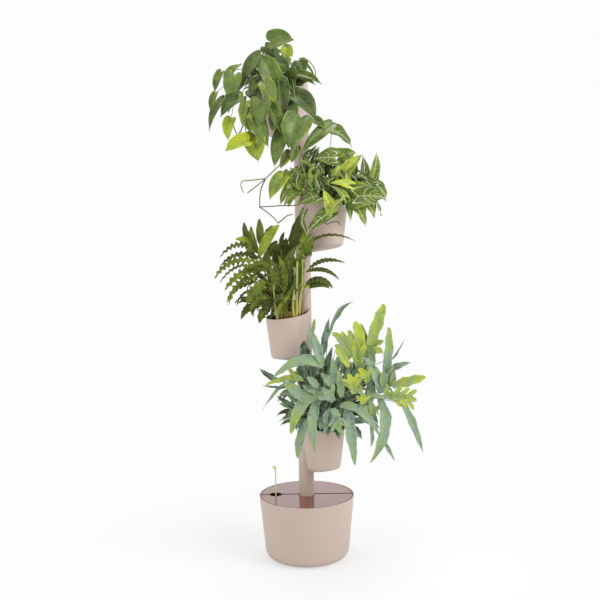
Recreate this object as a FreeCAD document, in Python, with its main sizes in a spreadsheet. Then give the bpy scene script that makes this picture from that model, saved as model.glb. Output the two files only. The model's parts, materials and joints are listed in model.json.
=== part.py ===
import FreeCAD, Part
import math
import os
import Sketcher
from FreeCAD import Placement, Rotation, Vector

# A vertical planter tower: a round water tank with a split lid, a plastic column that rises from it, and
# four pots that ride on the column one above the other, each turned its own way and each with a plant.
# Millimetres, Z up. The origin is on the column's axis, on the floor under the feet. The front is -Y.

doc = FreeCAD.newDocument("planter_tower")
sheet = doc.addObject("Spreadsheet::Sheet", "Sizes")

# Driving sizes, each with what it is
SIZES = {
    # feet and tub
    "foot_height": (3, "rubber foot, floor to underside of the tub"),
    "foot_radius": (9, "rubber foot"),
    "foot_circle": (101, "radius of the circle that the feet stand on"),
    "foot_turn": (5, "turn of the four feet from the diagonals, degrees"),
    "middle_foot_radius": (14, "fifth foot, under the column, which carries its load past the tub's floor"),
    "tub_height": (192, "tub, underside to rim"),
    "tub_rim_radius": (151, "outside of the tub at its rim"),
    "tub_base_radius": (131, "outside of the tub where its wall would meet its underside"),
    "tub_corner": (24, "outside rounding of the tub's bottom edge"),
    "tub_wall": (3, "wall and floor of the tub"),
    "rim_lip": (2.6, "width of the rim beside the lid"),
    "ledge_width": (7, "width of the ledge that carries the lid"),
    "ledge_depth": (4, "thickness of that ledge"),
    "edge_round": (0.9, "small rounding of moulded edges"),
    # lid
    "lid_thickness": (5, "lid plate"),
    "lid_recess": (0.6, "lid's top below the tub's rim"),
    "lid_clearance": (1.7, "gap all round the lid, also at the column"),
    "lid_split": (6, "gap between the two halves"),
    "lid_round": (2, "rounding of the lid's top edges"),
    "rib_depth": (7, "stiffening rib under each half"),
    "rib_width": (3, "stiffening rib under each half"),
    "rib_inset": (5, "rib to the split edge"),
    "filler_radius": (19, "round hole for the gauge and the watering can"),
    "filler_offset": (99, "hole's centre to the column's axis"),
    # column
    "column_radius": (24, "outside of the column"),
    "column_bore": (18.5, "inside of a column tube"),
    "spigot_radius": (21, "spigot on which the level above turns"),
    "spigot_length": (24, "length of a spigot"),
    "running_clearance": (0.06, "spigot in its sleeve, per side"),
    "first_level": (266, "floor to the joint under the lowest pot"),
    "level_pitch": (345, "joint to joint"),
    "sleeve_length": (205, "sleeve that is moulded with each pot"),
    # column foot, pump and hose
    "bell_radius": (60, "column foot at the tub's floor"),
    "bell_shoulder": (44, "column foot at its shoulder"),
    "bell_height": (66, "column foot, floor to shoulder"),
    "bell_wall": (3, "wall of the column foot"),
    "neck_wall": (3.5, "wall of the socket that holds the column"),
    "neck_height": (42, "depth of that socket"),
    "inlet_width": (26, "water inlets in the column foot"),
    "inlet_height": (14, "water inlets in the column foot"),
    "seat_clearance": (0.1, "between pieces that plug together"),
    "pump_length": (54, "submersible pump"),
    "pump_width": (40, "submersible pump"),
    "pump_height": (36, "submersible pump"),
    "pump_foot": (4, "height of the pump's rubber feet"),
    "pump_round": (5, "rounding of the pump's edges"),
    "nozzle_radius": (4.5, "pump outlet"),
    "nozzle_length": (14, "pump outlet"),
    "cover_thickness": (4, "pump intake cover"),
    "slot_width": (2.5, "slots in the intake cover"),
    "hose_radius": (6.5, "outside of the riser hose"),
    "hose_wall": (1.95, "wall of the riser hose"),
    "head_radius": (17, "drip head at the top of the hose"),
    "head_height": (14, "drip head"),
    "head_drop": (26, "drip head's foot below the end of the top sleeve"),
    "cap_thickness": (4, "cap on top of the column"),
    "cap_skirt": (10, "cap's skirt inside the sleeve"),
    # level gauge
    "guide_wall": (2, "wall of the float's guide tube"),
    "guide_top_gap": (6, "top of the guide tube below the lid's ribs"),
    "guide_flange": (6, "how far the guide's foot stands out"),
    "float_radius": (15, "float"),
    "float_clearance": (0.4, "float in its guide tube, all round"),
    "float_height": (22, "float"),
    "float_rest": (80, "float above the tub's floor plane as photographed"),
    "rod_radius": (2.2, "gauge rod"),
    "rod_above_lid": (90, "top of the gauge rod above the rim as photographed"),
    "flag_length": (11, "flag on the gauge rod"),
    "flag_height": (13, "flag on the gauge rod"),
    "flag_thickness": (2.4, "flag on the gauge rod"),
    # cable gland
    "gland_drop": (27, "cable gland below the tub's rim"),
    "gland_radius": (10, "gland's outer flange"),
    "gland_neck": (6.5, "gland through the wall"),
    "gland_bore": (3.2, "cable hole"),
    "gland_depth": (16, "gland from end to end"),
    # pots
    "pot_offset": (84, "pot's axis to the column's axis"),
    "pot_rim_radius": (65.5, "pot at its rim"),
    "pot_base_radius": (48, "pot at its underside"),
    "pot_neck_half": (3, "how wide the side walls meet the column, at the underside"),
    "pot_back": (12, "where the side walls end inside the column"),
    "pot_wall": (2.6, "pot wall and floor"),
    "pot_corner": (13, "outside rounding of the pot's bottom edge"),
    "pot_floor": (21, "joint to the underside at the pot's axis"),
    "pot_depth": (141, "underside to rim at the pot's axis"),
    "floor_slope": (10, "underside rises outward, degrees"),
    "rim_slope": (11, "rim falls outward, degrees"),
    "soil_below_rim": (7, "soil's surface below the rim"),
    "soft_clearance": (0.4, "soil and plants to what is beside them"),
    # watering
    "ring_seat": (40, "joint to the seat of the water ring"),
    "ring_height": (8, "water ring"),
    "ring_bore": (9, "hole in the water ring, round the hose"),
    "seat_height": (3, "height of the seat inside the sleeve"),
    "seat_bore": (19, "bore of that seat"),
    "wick_width": (12, "fabric wick"),
    "wick_thickness": (2, "fabric wick"),
    "wick_reach": (104, "end of the wick from the column's axis"),
    # plants
    "leaf_thickness": (1, "leaf"),
    "leaf_fold": (0.12, "how far a leaf's sides lift from its midrib, as a share of their width"),
    "stalk_radius": (1.5, "leaf stalk"),
    "vine_radius": (1.6, "trailing stem"),
    "root_spread": (30, "how far from the pot's axis the stalks leave the soil, at most"),
    # how each level is turned, degrees from the front towards the right
    "turn_1": (43, "lowest pot"),
    "turn_2": (-40, "second pot"),
    "turn_3": (66, "third pot"),
    "turn_4": (-42, "top pot"),
}

for row, (alias, (number, note)) in enumerate(SIZES.items(), start=1):
    sheet.set(f"A{row}", note)
    sheet.set(f"B{row}", str(number))
    sheet.setAlias(f"B{row}", alias)
doc.recompute()

LEVELS = (1, 2, 3, 4)
FRONT = Vector(0, -1, 0)
UP = Vector(0, 0, 1)


def bound(text):
    """An expression on the sheet: every word that is a size's name points at its cell."""
    parts = []
    word = ""
    for mark in text + " ":
        if mark.isalnum() or mark == "_":
            word += mark
            continue
        parts.append(f"Sizes.{word}" if word in SIZES else word)
        parts.append(mark)
        word = ""
    return "".join(parts).strip()


def value(text):
    """The number that such an expression has now."""
    found = sheet.evalExpression(bound(text))
    return float(getattr(found, "Value", found))


def bind(thing, **sizes):
    """Ties properties of an object to expressions."""
    for name, text in sizes.items():
        thing.setExpression(name, bound(text))
    return thing


# Helpers for bodies, sketches and solids


def plane_of(body, role):
    return next(f for f in body.Origin.OriginFeatures if f.Role == role)


def pin(sketch, line, end, x, y):
    """Fixes one end of a line at (x, y), both expressions."""
    for text, kind, axis in ((x, "DistanceX", -2), (y, "DistanceY", -1)):
        if text == "0":
            sketch.addConstraint(Sketcher.Constraint("PointOnObject", line, end, axis))
            continue
        number = value(text)
        where = sketch.addConstraint(Sketcher.Constraint(kind, -1, 1, line, end, number))
        sketch.setExpression(f"Constraints[{where}]", bound(text))


def attach(sketch, body, role, lift="0"):
    sketch.AttachmentSupport = (plane_of(body, role), [""])
    sketch.MapMode = "FlatFace"
    if lift != "0":
        sketch.setExpression(".AttachmentOffset.Base.z", bound(lift))


def closed_sketch(body, name, role, corners, lift="0"):
    """A closed outline of straight lines through the corners, each corner a pair of expressions."""
    sketch = body.newObject("Sketcher::SketchObject", name)
    attach(sketch, body, role, lift)
    spots = [Vector(value(x), value(y), 0) for x, y in corners]
    count = len(spots)
    for i in range(count):
        sketch.addGeometry(Part.LineSegment(spots[i], spots[(i + 1) % count]), False)
    for i in range(count):
        sketch.addConstraint(Sketcher.Constraint("Coincident", i, 2, (i + 1) % count, 1))
    for i, (x, y) in enumerate(corners):
        pin(sketch, i, 1, x, y)
    return sketch


def new_body(name):
    return doc.addObject("PartDesign::Body", name)


def turned_body(name, corners):
    """A body made by turning an outline in the XZ plane round the Z axis."""
    body = new_body(name)
    sketch = closed_sketch(body, name + "_outline", "XZ_Plane", corners)
    turned = body.newObject("PartDesign::Revolution", name + "_turned")
    turned.Profile = sketch
    turned.ReferenceAxis = (sketch, ["V_Axis"])
    turned.Angle = 360
    doc.recompute()
    return body


def fillet_body(body, radius, chosen):
    """Rounds the body's edges for which chosen(edge) is true."""
    base = body.Tip
    names = [f"Edge{i}" for i, edge in enumerate(base.Shape.Edges, start=1) if chosen(edge)]
    rounded = body.newObject("PartDesign::Fillet", body.Name + "_round")
    rounded.Base = (base, names)
    bind(rounded, Radius=radius)
    doc.recompute()
    return rounded


def circle_at(radius, height):
    """Chooses whole circular edges of this radius at this height."""
    wanted = value(radius)
    level = value(height)

    def chosen(edge):
        curve = edge.Curve
        if not isinstance(curve, Part.Circle):
            return False
        return abs(curve.Radius - wanted) < 0.01 and abs(curve.Center.z - level) < 0.01

    return chosen


def cylinder(name, radius, height, x="0", y="0", z="0", axis=UP):
    made = doc.addObject("Part::Cylinder", name)
    made.Placement = Placement(Vector(0, 0, 0), Rotation(UP, axis))
    bind(made, Radius=radius, Height=height)
    place(made, x, y, z)
    return made


def box(name, length, width, height, x, y, z):
    made = doc.addObject("Part::Box", name)
    bind(made, Length=length, Width=width, Height=height)
    place(made, x, y, z)
    return made


def place(made, x, y, z):
    for letter, text in (("x", x), ("y", y), ("z", z)):
        if text != "0":
            made.setExpression(f".Placement.Base.{letter}", bound(text))


def cut(name, base, tool):
    made = doc.addObject("Part::Cut", name)
    made.Base = base
    made.Tool = tool
    return made


def fuse(name, *shapes):
    made = doc.addObject("Part::MultiFuse", name)
    made.Shapes = list(shapes)
    made.Refine = True
    return made


def group(name, shapes):
    made = doc.addObject("Part::Compound", name)
    made.Links = list(shapes)
    return made


def rounded(name, base, radius, chosen):
    """Rounds chosen edges of any solid."""
    doc.recompute()
    picked = [i for i, edge in enumerate(base.Shape.Edges, start=1) if chosen(edge)]
    made = doc.addObject("Part::Fillet", name)
    made.Base = base
    size = value(radius)
    made.Edges = [(i, size, size) for i in picked]
    doc.recompute()
    return made


nodes = {}


def keep(label, made):
    """Notes a finished sub-part under the name of its node."""
    made.Label = label
    nodes[label] = made
    return made


# Places that several sub-parts share
TUB_FLOOR = "foot_height + tub_wall"
RIM = "foot_height + tub_height"
GLAND_HEIGHT = f"{RIM} - gland_drop"
LEDGE = f"{RIM} - lid_recess - lid_thickness"
REBATE = "tub_rim_radius - rim_lip"
WALL_SLOPE = "(tub_rim_radius - tub_base_radius) / tub_height"
BORE = "spigot_radius + running_clearance"


def tub_inside(height):
    """Radius of the tub's inner wall at a height above its underside."""
    return f"tub_base_radius - tub_wall + {WALL_SLOPE} * ({height})"


def make_tub():
    ledge_foot = f"{LEDGE} - ledge_depth"
    corners = [
        ("0", "foot_height"),
        ("tub_base_radius", "foot_height"),
        ("tub_rim_radius", RIM),
        (REBATE, RIM),
        (REBATE, LEDGE),
        (f"{REBATE} - ledge_width", LEDGE),
        (tub_inside(f"{ledge_foot} - foot_height - ledge_width"), f"{ledge_foot} - ledge_width"),
        (tub_inside("tub_wall"), TUB_FLOOR),
        ("0", TUB_FLOOR),
    ]
    shell = turned_body("tub_shell", corners)
    fillet_body(shell, "tub_corner", circle_at("tub_base_radius", "foot_height"))
    fillet_body(shell, "tub_corner - tub_wall", circle_at(tub_inside("tub_wall"), TUB_FLOOR))
    fillet_body(shell, "edge_round", circle_at("tub_rim_radius", RIM))
    fillet_body(shell, "edge_round", circle_at(REBATE, RIM))
    hole = cylinder("gland_hole", "gland_neck", "tub_rim_radius", z=GLAND_HEIGHT, axis=Vector(0, 1, 0))
    return keep("tub", cut("tub_with_hole", shell, hole))


def make_feet():
    feet = []
    for quarter in range(4):
        angle = f"(45 + foot_turn + {90 * quarter}) * 1deg"
        foot = cylinder(
            f"foot_{quarter}",
            "foot_radius",
            "foot_height",
            x=f"foot_circle * cos({angle})",
            y=f"foot_circle * sin({angle})",
        )
        feet.append(foot)
    feet.append(cylinder("foot_middle", "middle_foot_radius", "foot_height"))
    return keep("tub_feet", group("feet", feet))


def make_gland(tub):
    flange_start = f"{tub_inside('tub_height - gland_drop')} + tub_wall - 4"
    toward_back = Vector(0, 1, 0)
    neck = cylinder("gland_body", "gland_neck", "gland_depth", y=f"{flange_start} - 8",
                    z=GLAND_HEIGHT, axis=toward_back)
    flange = cylinder("gland_flange", "gland_radius", "6", y=flange_start,
                      z=GLAND_HEIGHT, axis=toward_back)
    bore = cylinder("gland_cable_hole", "gland_bore", "gland_depth + 20", y=f"{flange_start} - 18",
                    z=GLAND_HEIGHT, axis=toward_back)
    solid = fuse("gland_solid", neck, flange)
    seated = cut("gland_seated", solid, tub)
    return keep("cable_gland", cut("gland", seated, bore))


def lid_half(name, side):
    """One half of the lid; side is -1 for the front and 1 for the back."""
    radius = f"({REBATE} - lid_clearance)"
    disc = cylinder(name + "_disc", radius, "lid_thickness", z=LEDGE)
    rib_outer = f"(sqrt({radius} * {radius} - lid_split * lid_split) - ledge_width - 4)"
    rib_start = "lid_split / 2 + rib_inset"
    rib_y = rib_start if side > 0 else f"-({rib_start}) - rib_width"
    rib = box(name + "_rib", f"2 * {rib_outer}", "rib_width", "rib_depth + 1",
              f"-{rib_outer}", rib_y, f"{LEDGE} - rib_depth")
    away_y = "-tub_rim_radius * 2 + lid_split / 2" if side > 0 else "-lid_split / 2"
    away = box(name + "_other_side", "tub_rim_radius * 4", "tub_rim_radius * 2", "lid_thickness * 4",
               "-tub_rim_radius * 2", away_y, f"{LEDGE} - lid_thickness * 2")
    column = cylinder(name + "_column_hole", "column_radius + lid_clearance", "lid_thickness * 6",
                      z=f"{LEDGE} - lid_thickness * 3")
    filler = cylinder(name + "_filler_hole", "filler_radius", "lid_thickness * 6",
                      x="-filler_offset", z=f"{LEDGE} - lid_thickness * 3")
    plate = cut(name + "_plate", fuse(name + "_ribbed", disc, rib), away)
    open_plate = cut(name + "_open", plate, fuse(name + "_holes", column, filler))
    top = value(f"{LEDGE} + lid_thickness")

    def on_top(edge):
        return all(abs(v.Z - top) < 0.01 for v in edge.Vertexes)

    return rounded(name + "_rounded", open_plate, "lid_round", on_top)


def make_lid():
    keep("lid_front", lid_half("front_half", -1))
    keep("lid_back", lid_half("back_half", 1))


def make_column_foot():
    shoulder = f"{TUB_FLOOR} + bell_height"
    neck_top = f"{shoulder} + neck_height"
    socket = "column_radius + seat_clearance"
    corners = [
        ("bell_radius - bell_wall", TUB_FLOOR),
        ("bell_radius", TUB_FLOOR),
        ("bell_shoulder", shoulder),
        (f"{socket} + neck_wall", f"{shoulder} + 6"),
        (f"{socket} + neck_wall", neck_top),
        (socket, neck_top),
        (socket, shoulder),
        ("column_bore", shoulder),
        ("column_bore", f"{shoulder} - bell_wall"),
        ("bell_shoulder - bell_wall", f"{shoulder} - bell_wall"),
    ]
    bell = turned_body("bell", corners)
    fillet_body(bell, "bell_wall", circle_at("bell_shoulder", shoulder))
    across = box("inlets_across", "bell_radius * 4", "inlet_width", "inlet_height",
                 "-bell_radius * 2", "-inlet_width / 2", TUB_FLOOR)
    along = box("inlets_along", "inlet_width", "bell_radius * 4", "inlet_height",
                "-inlet_width / 2", "-bell_radius * 2", TUB_FLOOR)
    return keep("column_foot", cut("bell_open", bell, fuse("inlets", across, along)))


def tube_corners(bottom, top, lower_spigot):
    """Outline of a column tube between two heights, with a spigot above and, if asked, one below."""
    upper = [
        ("column_radius", top),
        ("spigot_radius", top),
        ("spigot_radius", f"{top} + spigot_length"),
        ("column_bore", f"{top} + spigot_length"),
    ]
    if lower_spigot:
        lower = [
            ("column_bore", f"{bottom} - spigot_length"),
            ("spigot_radius", f"{bottom} - spigot_length"),
            ("spigot_radius", bottom),
            ("column_radius", bottom),
        ]
    else:
        lower = [("column_bore", bottom), ("column_radius", bottom)]
    return lower + upper


def joint_height(level):
    """Height of the joint under a level, counted from 1."""
    return f"(first_level + {level - 1} * level_pitch)"


def make_column():
    seat = f"{TUB_FLOOR} + bell_height"
    keep("base_column", turned_body("lower_tube", tube_corners(seat, "first_level", False)))
    for level in LEVELS[:-1]:
        start = f"({joint_height(level)} + sleeve_length)"
        outline = tube_corners(start, joint_height(level + 1), True)
        keep(f"column_tube_{level}", turned_body(f"tube_{level}", outline))


def make_pump():
    floor = f"{TUB_FLOOR} + pump_foot"
    block = box("pump_block", "pump_length", "pump_width", "pump_height",
                "-pump_length / 2", "-pump_width / 2", floor)
    upright = rounded("pump_rounded", block, "pump_round",
                      lambda edge: abs(edge.Length - value("pump_height")) < 0.01)
    nozzle = cylinder("pump_nozzle", "nozzle_radius", "pump_height + nozzle_length", z=floor)
    outlet = cylinder("pump_outlet", "nozzle_radius - 1.5", "nozzle_length + 6",
                      z=f"{floor} + pump_height - 5")
    keep("pump_body", cut("pump", fuse("pump_solid", upright, nozzle), outlet))
    plate = box("cover_plate", "pump_length - 2 * pump_round", "cover_thickness", "pump_height - 4",
                "-pump_length / 2 + pump_round", "-pump_width / 2 - cover_thickness", f"{floor} + 2")
    slots = []
    for index in range(-3, 4):
        slot = box(f"cover_slot_{index + 3}", "slot_width", "cover_thickness * 3", "pump_height - 14",
                   f"{index} * slot_width * 2 - slot_width / 2",
                   "-pump_width / 2 - cover_thickness * 2", f"{floor} + 7")
        slots.append(slot)
    keep("pump_cover", cut("cover", plate, fuse("cover_slots", *slots)))
    feet = []
    for right in (-1, 1):
        for back in (-1, 1):
            foot = cylinder(f"pump_foot_{right + 1}_{back + 1}", "pump_foot", "pump_foot",
                            x=f"{right} * (pump_length / 2 - pump_round - 3)",
                            y=f"{back} * (pump_width / 2 - pump_round - 2)", z=TUB_FLOOR)
            feet.append(foot)
    keep("pump_feet", group("pump_feet_set", feet))


def make_hose():
    start = f"{TUB_FLOOR} + pump_foot + pump_height + 2"
    column_end = f"({joint_height(4)} + sleeve_length)"
    head_foot = f"({column_end} - head_drop)"
    end = f"{head_foot} + head_height / 2"
    corners = [
        ("hose_radius - hose_wall", start),
        ("hose_radius", start),
        ("hose_radius", end),
        ("hose_radius - hose_wall", end),
    ]
    keep("riser_hose", turned_body("hose", corners))
    grip = "hose_radius + seat_clearance"
    head_corners = [
        (grip, head_foot),
        ("head_radius", f"{head_foot} + head_height / 3"),
        ("head_radius", f"{head_foot} + head_height"),
        ("head_radius - 2", f"{head_foot} + head_height"),
        ("head_radius - 2", f"{head_foot} + head_height / 2"),
        (grip, f"{head_foot} + head_height / 2"),
    ]
    keep("drip_head", turned_body("head", head_corners))
    skirt = f"{BORE} - seat_clearance"
    cap_corners = [
        ("0", column_end),
        (f"{skirt} - 2", column_end),
        (f"{skirt} - 2", f"{column_end} - cap_skirt"),
        (skirt, f"{column_end} - cap_skirt"),
        (skirt, column_end),
        ("column_radius", column_end),
        ("column_radius", f"{column_end} + cap_thickness"),
        ("0", f"{column_end} + cap_thickness"),
    ]
    cap = turned_body("cap", cap_corners)
    fillet_body(cap, "cap_thickness / 2", circle_at("column_radius", f"{column_end} + cap_thickness"))
    keep("column_cap", cap)


def tub_space():
    """The room inside the tub, a little narrower than its wall, which trims what stands beside the wall."""
    gap = "soft_clearance"
    corners = [
        ("0", TUB_FLOOR),
        (f"{tub_inside('tub_wall')} - {gap}", TUB_FLOOR),
        (f"{tub_inside('tub_height')} - {gap}", RIM),
        ("0", RIM),
    ]
    space = turned_body("tub_room", corners)
    fillet_body(space, "tub_corner - tub_wall", circle_at(f"{tub_inside('tub_wall')} - {gap}", TUB_FLOOR))
    return space


def make_gauge():
    lid_foot = f"{LEDGE} - rib_depth"
    guide_top = f"({lid_foot} - guide_top_gap)"
    bore = "(float_radius + float_clearance)"
    outside = cylinder("guide_outside", f"{bore} + guide_wall", f"{guide_top} - ({TUB_FLOOR})",
                       x="-filler_offset", z=TUB_FLOOR)
    flange = cylinder("guide_flange_disc", f"{bore} + guide_wall + guide_flange", "tub_wall",
                      x="-filler_offset", z=TUB_FLOOR)
    inside = cylinder("guide_inside", bore, f"{guide_top}",
                      x="-filler_offset", z=f"{TUB_FLOOR} + guide_wall")
    windows = []
    for index in range(3):
        window = box(f"guide_window_{index}", bore, f"{bore} * 4", f"{bore} * 2",
                     f"-filler_offset - {bore} / 2", f"-{bore} * 2",
                     f"{TUB_FLOOR} + tub_wall * 3 + {index} * {bore} * 3")
        windows.append(window)
    seated = doc.addObject("Part::Common", "guide_seated")
    seated.Base = fuse("guide_solid", outside, flange)
    seated.Tool = tub_space()
    hollow = cut("guide_hollow", seated, inside)
    keep("gauge_guide", cut("guide", hollow, fuse("guide_windows", *windows)))

    rod_top = f"({RIM} + rod_above_lid)"
    rod_foot = "(foot_height + float_rest)"
    rod = cylinder("rod", "rod_radius", f"{rod_top} - {rod_foot}", x="-filler_offset", z=rod_foot)
    tongue = new_body("flag_plate")
    outline = [
        ("-filler_offset", rod_top),
        ("-filler_offset - flag_length", rod_top),
        ("-filler_offset - flag_length * 0.6", f"{rod_top} - flag_height * 0.6"),
        ("-filler_offset", f"{rod_top} - flag_height"),
    ]
    sketch = closed_sketch(tongue, "flag_outline", "XZ_Plane", outline)
    pad = tongue.newObject("PartDesign::Pad", "flag_pad")
    pad.Profile = sketch
    pad.Midplane = True
    bind(pad, Length="flag_thickness")
    keep("gauge_rod", fuse("rod_and_flag", rod, tongue))
    float_body = cylinder("float_block", "float_radius", "float_height",
                          x="-filler_offset", z=rod_foot)
    float_bore = cylinder("float_bore", "rod_radius", "float_height * 2",
                          x="-filler_offset", z=f"{rod_foot} - 1")
    keep("gauge_float", cut("float", float_body, float_bore))


# Pots


def pot_form(name, inset, bottom_lift, corner):
    """The pot's solid form, drawn in from its outside by inset: tapered, round outside, with two flat
    side walls that run in to the column, and cut off below by its rising floor."""
    below = "16"
    slope = "((pot_rim_radius - pot_base_radius) / pot_depth)"
    radius = f"(pot_base_radius - {below} * {slope} - ({inset}))"
    neck = f"(pot_neck_half - {below} * {slope} - ({inset}))"
    lean = "asin((pot_base_radius - pot_neck_half) / pot_offset)"
    back = f"(({neck} + pot_back * sin({lean})) / cos({lean}))"
    body = new_body(name)
    sketch = body.newObject("Sketcher::SketchObject", name + "_outline")
    attach(sketch, body, "XY_Plane", f"pot_floor - {below}")
    r = value(radius)
    middle = Vector(0, -value("pot_offset"), 0)
    angle = math.radians(value(lean))
    tangent_x = r * math.cos(angle)
    tangent_y = middle.y + r * math.sin(angle)
    half = value(back)
    back_y = -value("pot_back")
    right_back = Vector(half, back_y, 0)
    left_back = Vector(-half, back_y, 0)
    circle = Part.Circle(middle, UP, r)
    sketch.addGeometry(Part.ArcOfCircle(circle, math.pi - angle, 2 * math.pi + angle), False)
    sketch.addGeometry(Part.LineSegment(Vector(tangent_x, tangent_y, 0), right_back), False)
    sketch.addGeometry(Part.LineSegment(right_back, left_back), False)
    sketch.addGeometry(Part.LineSegment(left_back, Vector(-tangent_x, tangent_y, 0)), False)
    sketch.addConstraint(Sketcher.Constraint("Tangent", 0, 2, 1, 1))
    sketch.addConstraint(Sketcher.Constraint("Coincident", 1, 2, 2, 1))
    sketch.addConstraint(Sketcher.Constraint("Coincident", 2, 2, 3, 1))
    sketch.addConstraint(Sketcher.Constraint("Tangent", 3, 2, 0, 1))
    pin(sketch, 0, 3, "0", "-pot_offset")
    pin(sketch, 1, 2, back, "-pot_back")
    pin(sketch, 2, 2, f"-{back}", "-pot_back")
    where = sketch.addConstraint(Sketcher.Constraint("Radius", 0, r))
    sketch.setExpression(f"Constraints[{where}]", bound(radius))
    pad = body.newObject("PartDesign::Pad", name + "_tapered")
    pad.Profile = sketch
    bind(pad, Length=f"pot_depth + pot_floor + {below} * 2", TaperAngle=f"atan({slope})")
    doc.recompute()
    under = sloped_block(name + "_under", f"pot_floor + {bottom_lift}", "floor_slope", -1)
    open_form = cut(name + "_floored", body, under)
    normal, level = slope_plane(f"pot_floor + {bottom_lift}", "floor_slope", -1)

    def bottom_edge(edge):
        return all(abs(normal.dot(p) - level) < 0.01 for p in edge.discretize(5))

    return rounded(name + "_form", open_form, corner, bottom_edge)


def slope_plane(height, slope, direction):
    """Normal and offset of a plane that passes the pot's axis at this height; direction 1 falls
    outward and -1 rises outward."""
    tilt = math.radians(value(slope)) * direction
    normal = Vector(0, -math.sin(tilt), math.cos(tilt))
    spot = Vector(0, -value("pot_offset"), value(height))
    return normal, normal.dot(spot)


def sloped_block(name, height, slope, side):
    """A big block whose face lies on a sloped plane through the pot's axis. Side -1 is the block below
    the rising floor, side 1 the block above the falling rim."""
    reach = "pot_offset * 4"
    made = box(name, reach, reach, "pot_depth", "0", "0", "0")
    turn = value(slope) * side
    made.Placement = Placement(Vector(0, 0, 0), Rotation(Vector(1, 0, 0), turn))
    normal = made.Placement.Rotation.multVec(UP)
    across = made.Placement.Rotation.multVec(Vector(0, 1, 0))
    spot = Vector(0, -value("pot_offset"), value(height))
    corner = spot - across * (value(reach) / 2) - Vector(value(reach) / 2, 0, 0)
    if side < 0:
        corner = corner - normal * value("pot_depth")
    made.Placement.Base = corner
    return made


def make_pot():
    """One moulding: the pot and the sleeve that turns on the column, in the level's own frame, whose
    origin is in the joint below it."""
    outer = pot_form("pot_outer", "0", "0", "pot_corner")
    inner = pot_form("pot_inner", "pot_wall", "pot_wall", "pot_corner - pot_wall")
    sleeve = cylinder("sleeve", "column_radius", "sleeve_length")
    above = sloped_block("pot_above", "pot_floor + pot_depth", "rim_slope", 1)
    trimmed = cut("pot_trimmed", outer, above)
    hollow = cut("pot_hollow", inner, cylinder("pot_core", "column_radius", "sleeve_length * 2"))
    shell = cut("pot_shell", fuse("pot_joined", trimmed, sleeve), hollow)
    low_bore = cylinder("low_bore", BORE, "ring_seat - seat_height")
    seat = cylinder("seat_bore_hole", "seat_bore", "sleeve_length")
    high_bore = cylinder("high_bore", BORE, "sleeve_length", z="ring_seat")
    slot = box("wick_slot", "wick_width + 2", "column_radius * 2", "wick_thickness + 4",
               "-wick_width / 2 - 1", "-column_radius * 2", "ring_seat + ring_height - 2")
    return cut("pot_moulding", shell, fuse("pot_bores", low_bore, seat, high_bore, slot))


def make_water_ring():
    corners = [
        ("ring_bore", "ring_seat"),
        (f"{BORE} - seat_clearance", "ring_seat"),
        (f"{BORE} - seat_clearance", "ring_seat + ring_height"),
        (f"{BORE} - seat_clearance - 2", "ring_seat + ring_height"),
        (f"{BORE} - seat_clearance - 3", "ring_seat + 2.5"),
        ("ring_bore + 2", "ring_seat + 2.5"),
        ("ring_bore + 1.5", "ring_seat + ring_height - 2"),
        ("ring_bore", "ring_seat + ring_height - 2"),
    ]
    return turned_body("ring", corners)


def make_wick():
    return box("wick_strip", "wick_width", "wick_reach - ring_bore - 3", "wick_thickness",
               "-wick_width / 2", "-wick_reach", "ring_seat + ring_height")


def make_soil():
    inset = "pot_wall + soft_clearance"
    form = pot_form("soil_form", inset, inset, "pot_corner - pot_wall")
    above = sloped_block("soil_above", "pot_floor + pot_depth - soil_below_rim", "rim_slope", 1)
    column = cylinder("soil_column", "column_radius + soft_clearance", "sleeve_length * 2")
    groove = box("soil_groove", "wick_width + 2 * soft_clearance", "wick_reach + soft_clearance",
                 "wick_thickness + 2 * soft_clearance", "-wick_width / 2 - soft_clearance",
                 "-wick_reach - soft_clearance", "ring_seat + ring_height - soft_clearance")
    return cut("soil_bed", form, fuse("soil_removed", above, column, groove))


def make_levels():
    """The same four pieces on every level, each copy turned and lifted to its place."""
    masters = {
        "pot": make_pot(),
        "water_ring": make_water_ring(),
        "wick": make_wick(),
        "soil": make_soil(),
    }
    for level in LEVELS:
        for label, master in masters.items():
            copy = group(f"{label}_on_level_{level}", [master])
            copy.Placement = level_placement(level)
            keep(f"{label}_{level}", copy)


def level_placement(level):
    lift = Vector(0, 0, value(joint_height(level)))
    return Placement(lift, Rotation(UP, value(f"turn_{level}")))


# Plants. Every leaf is a thin closed solid with flat facets, on a three sided stalk that leaves the soil
# upright. Places are (right, front, up) in millimetres from the middle of the pot's soil, as seen from
# the front with the levels turned as photographed.

PHOTOGRAPHED_TURN = {1: 43, 2: -40, 3: 66, 4: -42}

# Half outlines: how far along the leaf, and how far to the side, as shares of its length and width
HEART = [(-0.12, 0.16), (-0.15, 0.32), (-0.03, 0.46), (0.16, 0.5), (0.42, 0.42), (0.68, 0.24), (0.88, 0.07)]
ARROW = [(-0.26, 0.2), (-0.3, 0.36), (-0.08, 0.5), (0.14, 0.4), (0.42, 0.36), (0.7, 0.2), (0.9, 0.05)]
LANCE = [(0.08, 0.2), (0.26, 0.44), (0.5, 0.5), (0.76, 0.34), (0.93, 0.1)]
STRAP = [(0.06, 0.28), (0.22, 0.44), (0.45, 0.5), (0.72, 0.48), (0.93, 0.28)]
LOBE = [(0.1, 0.34), (0.5, 0.5), (0.9, 0.38)]

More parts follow.
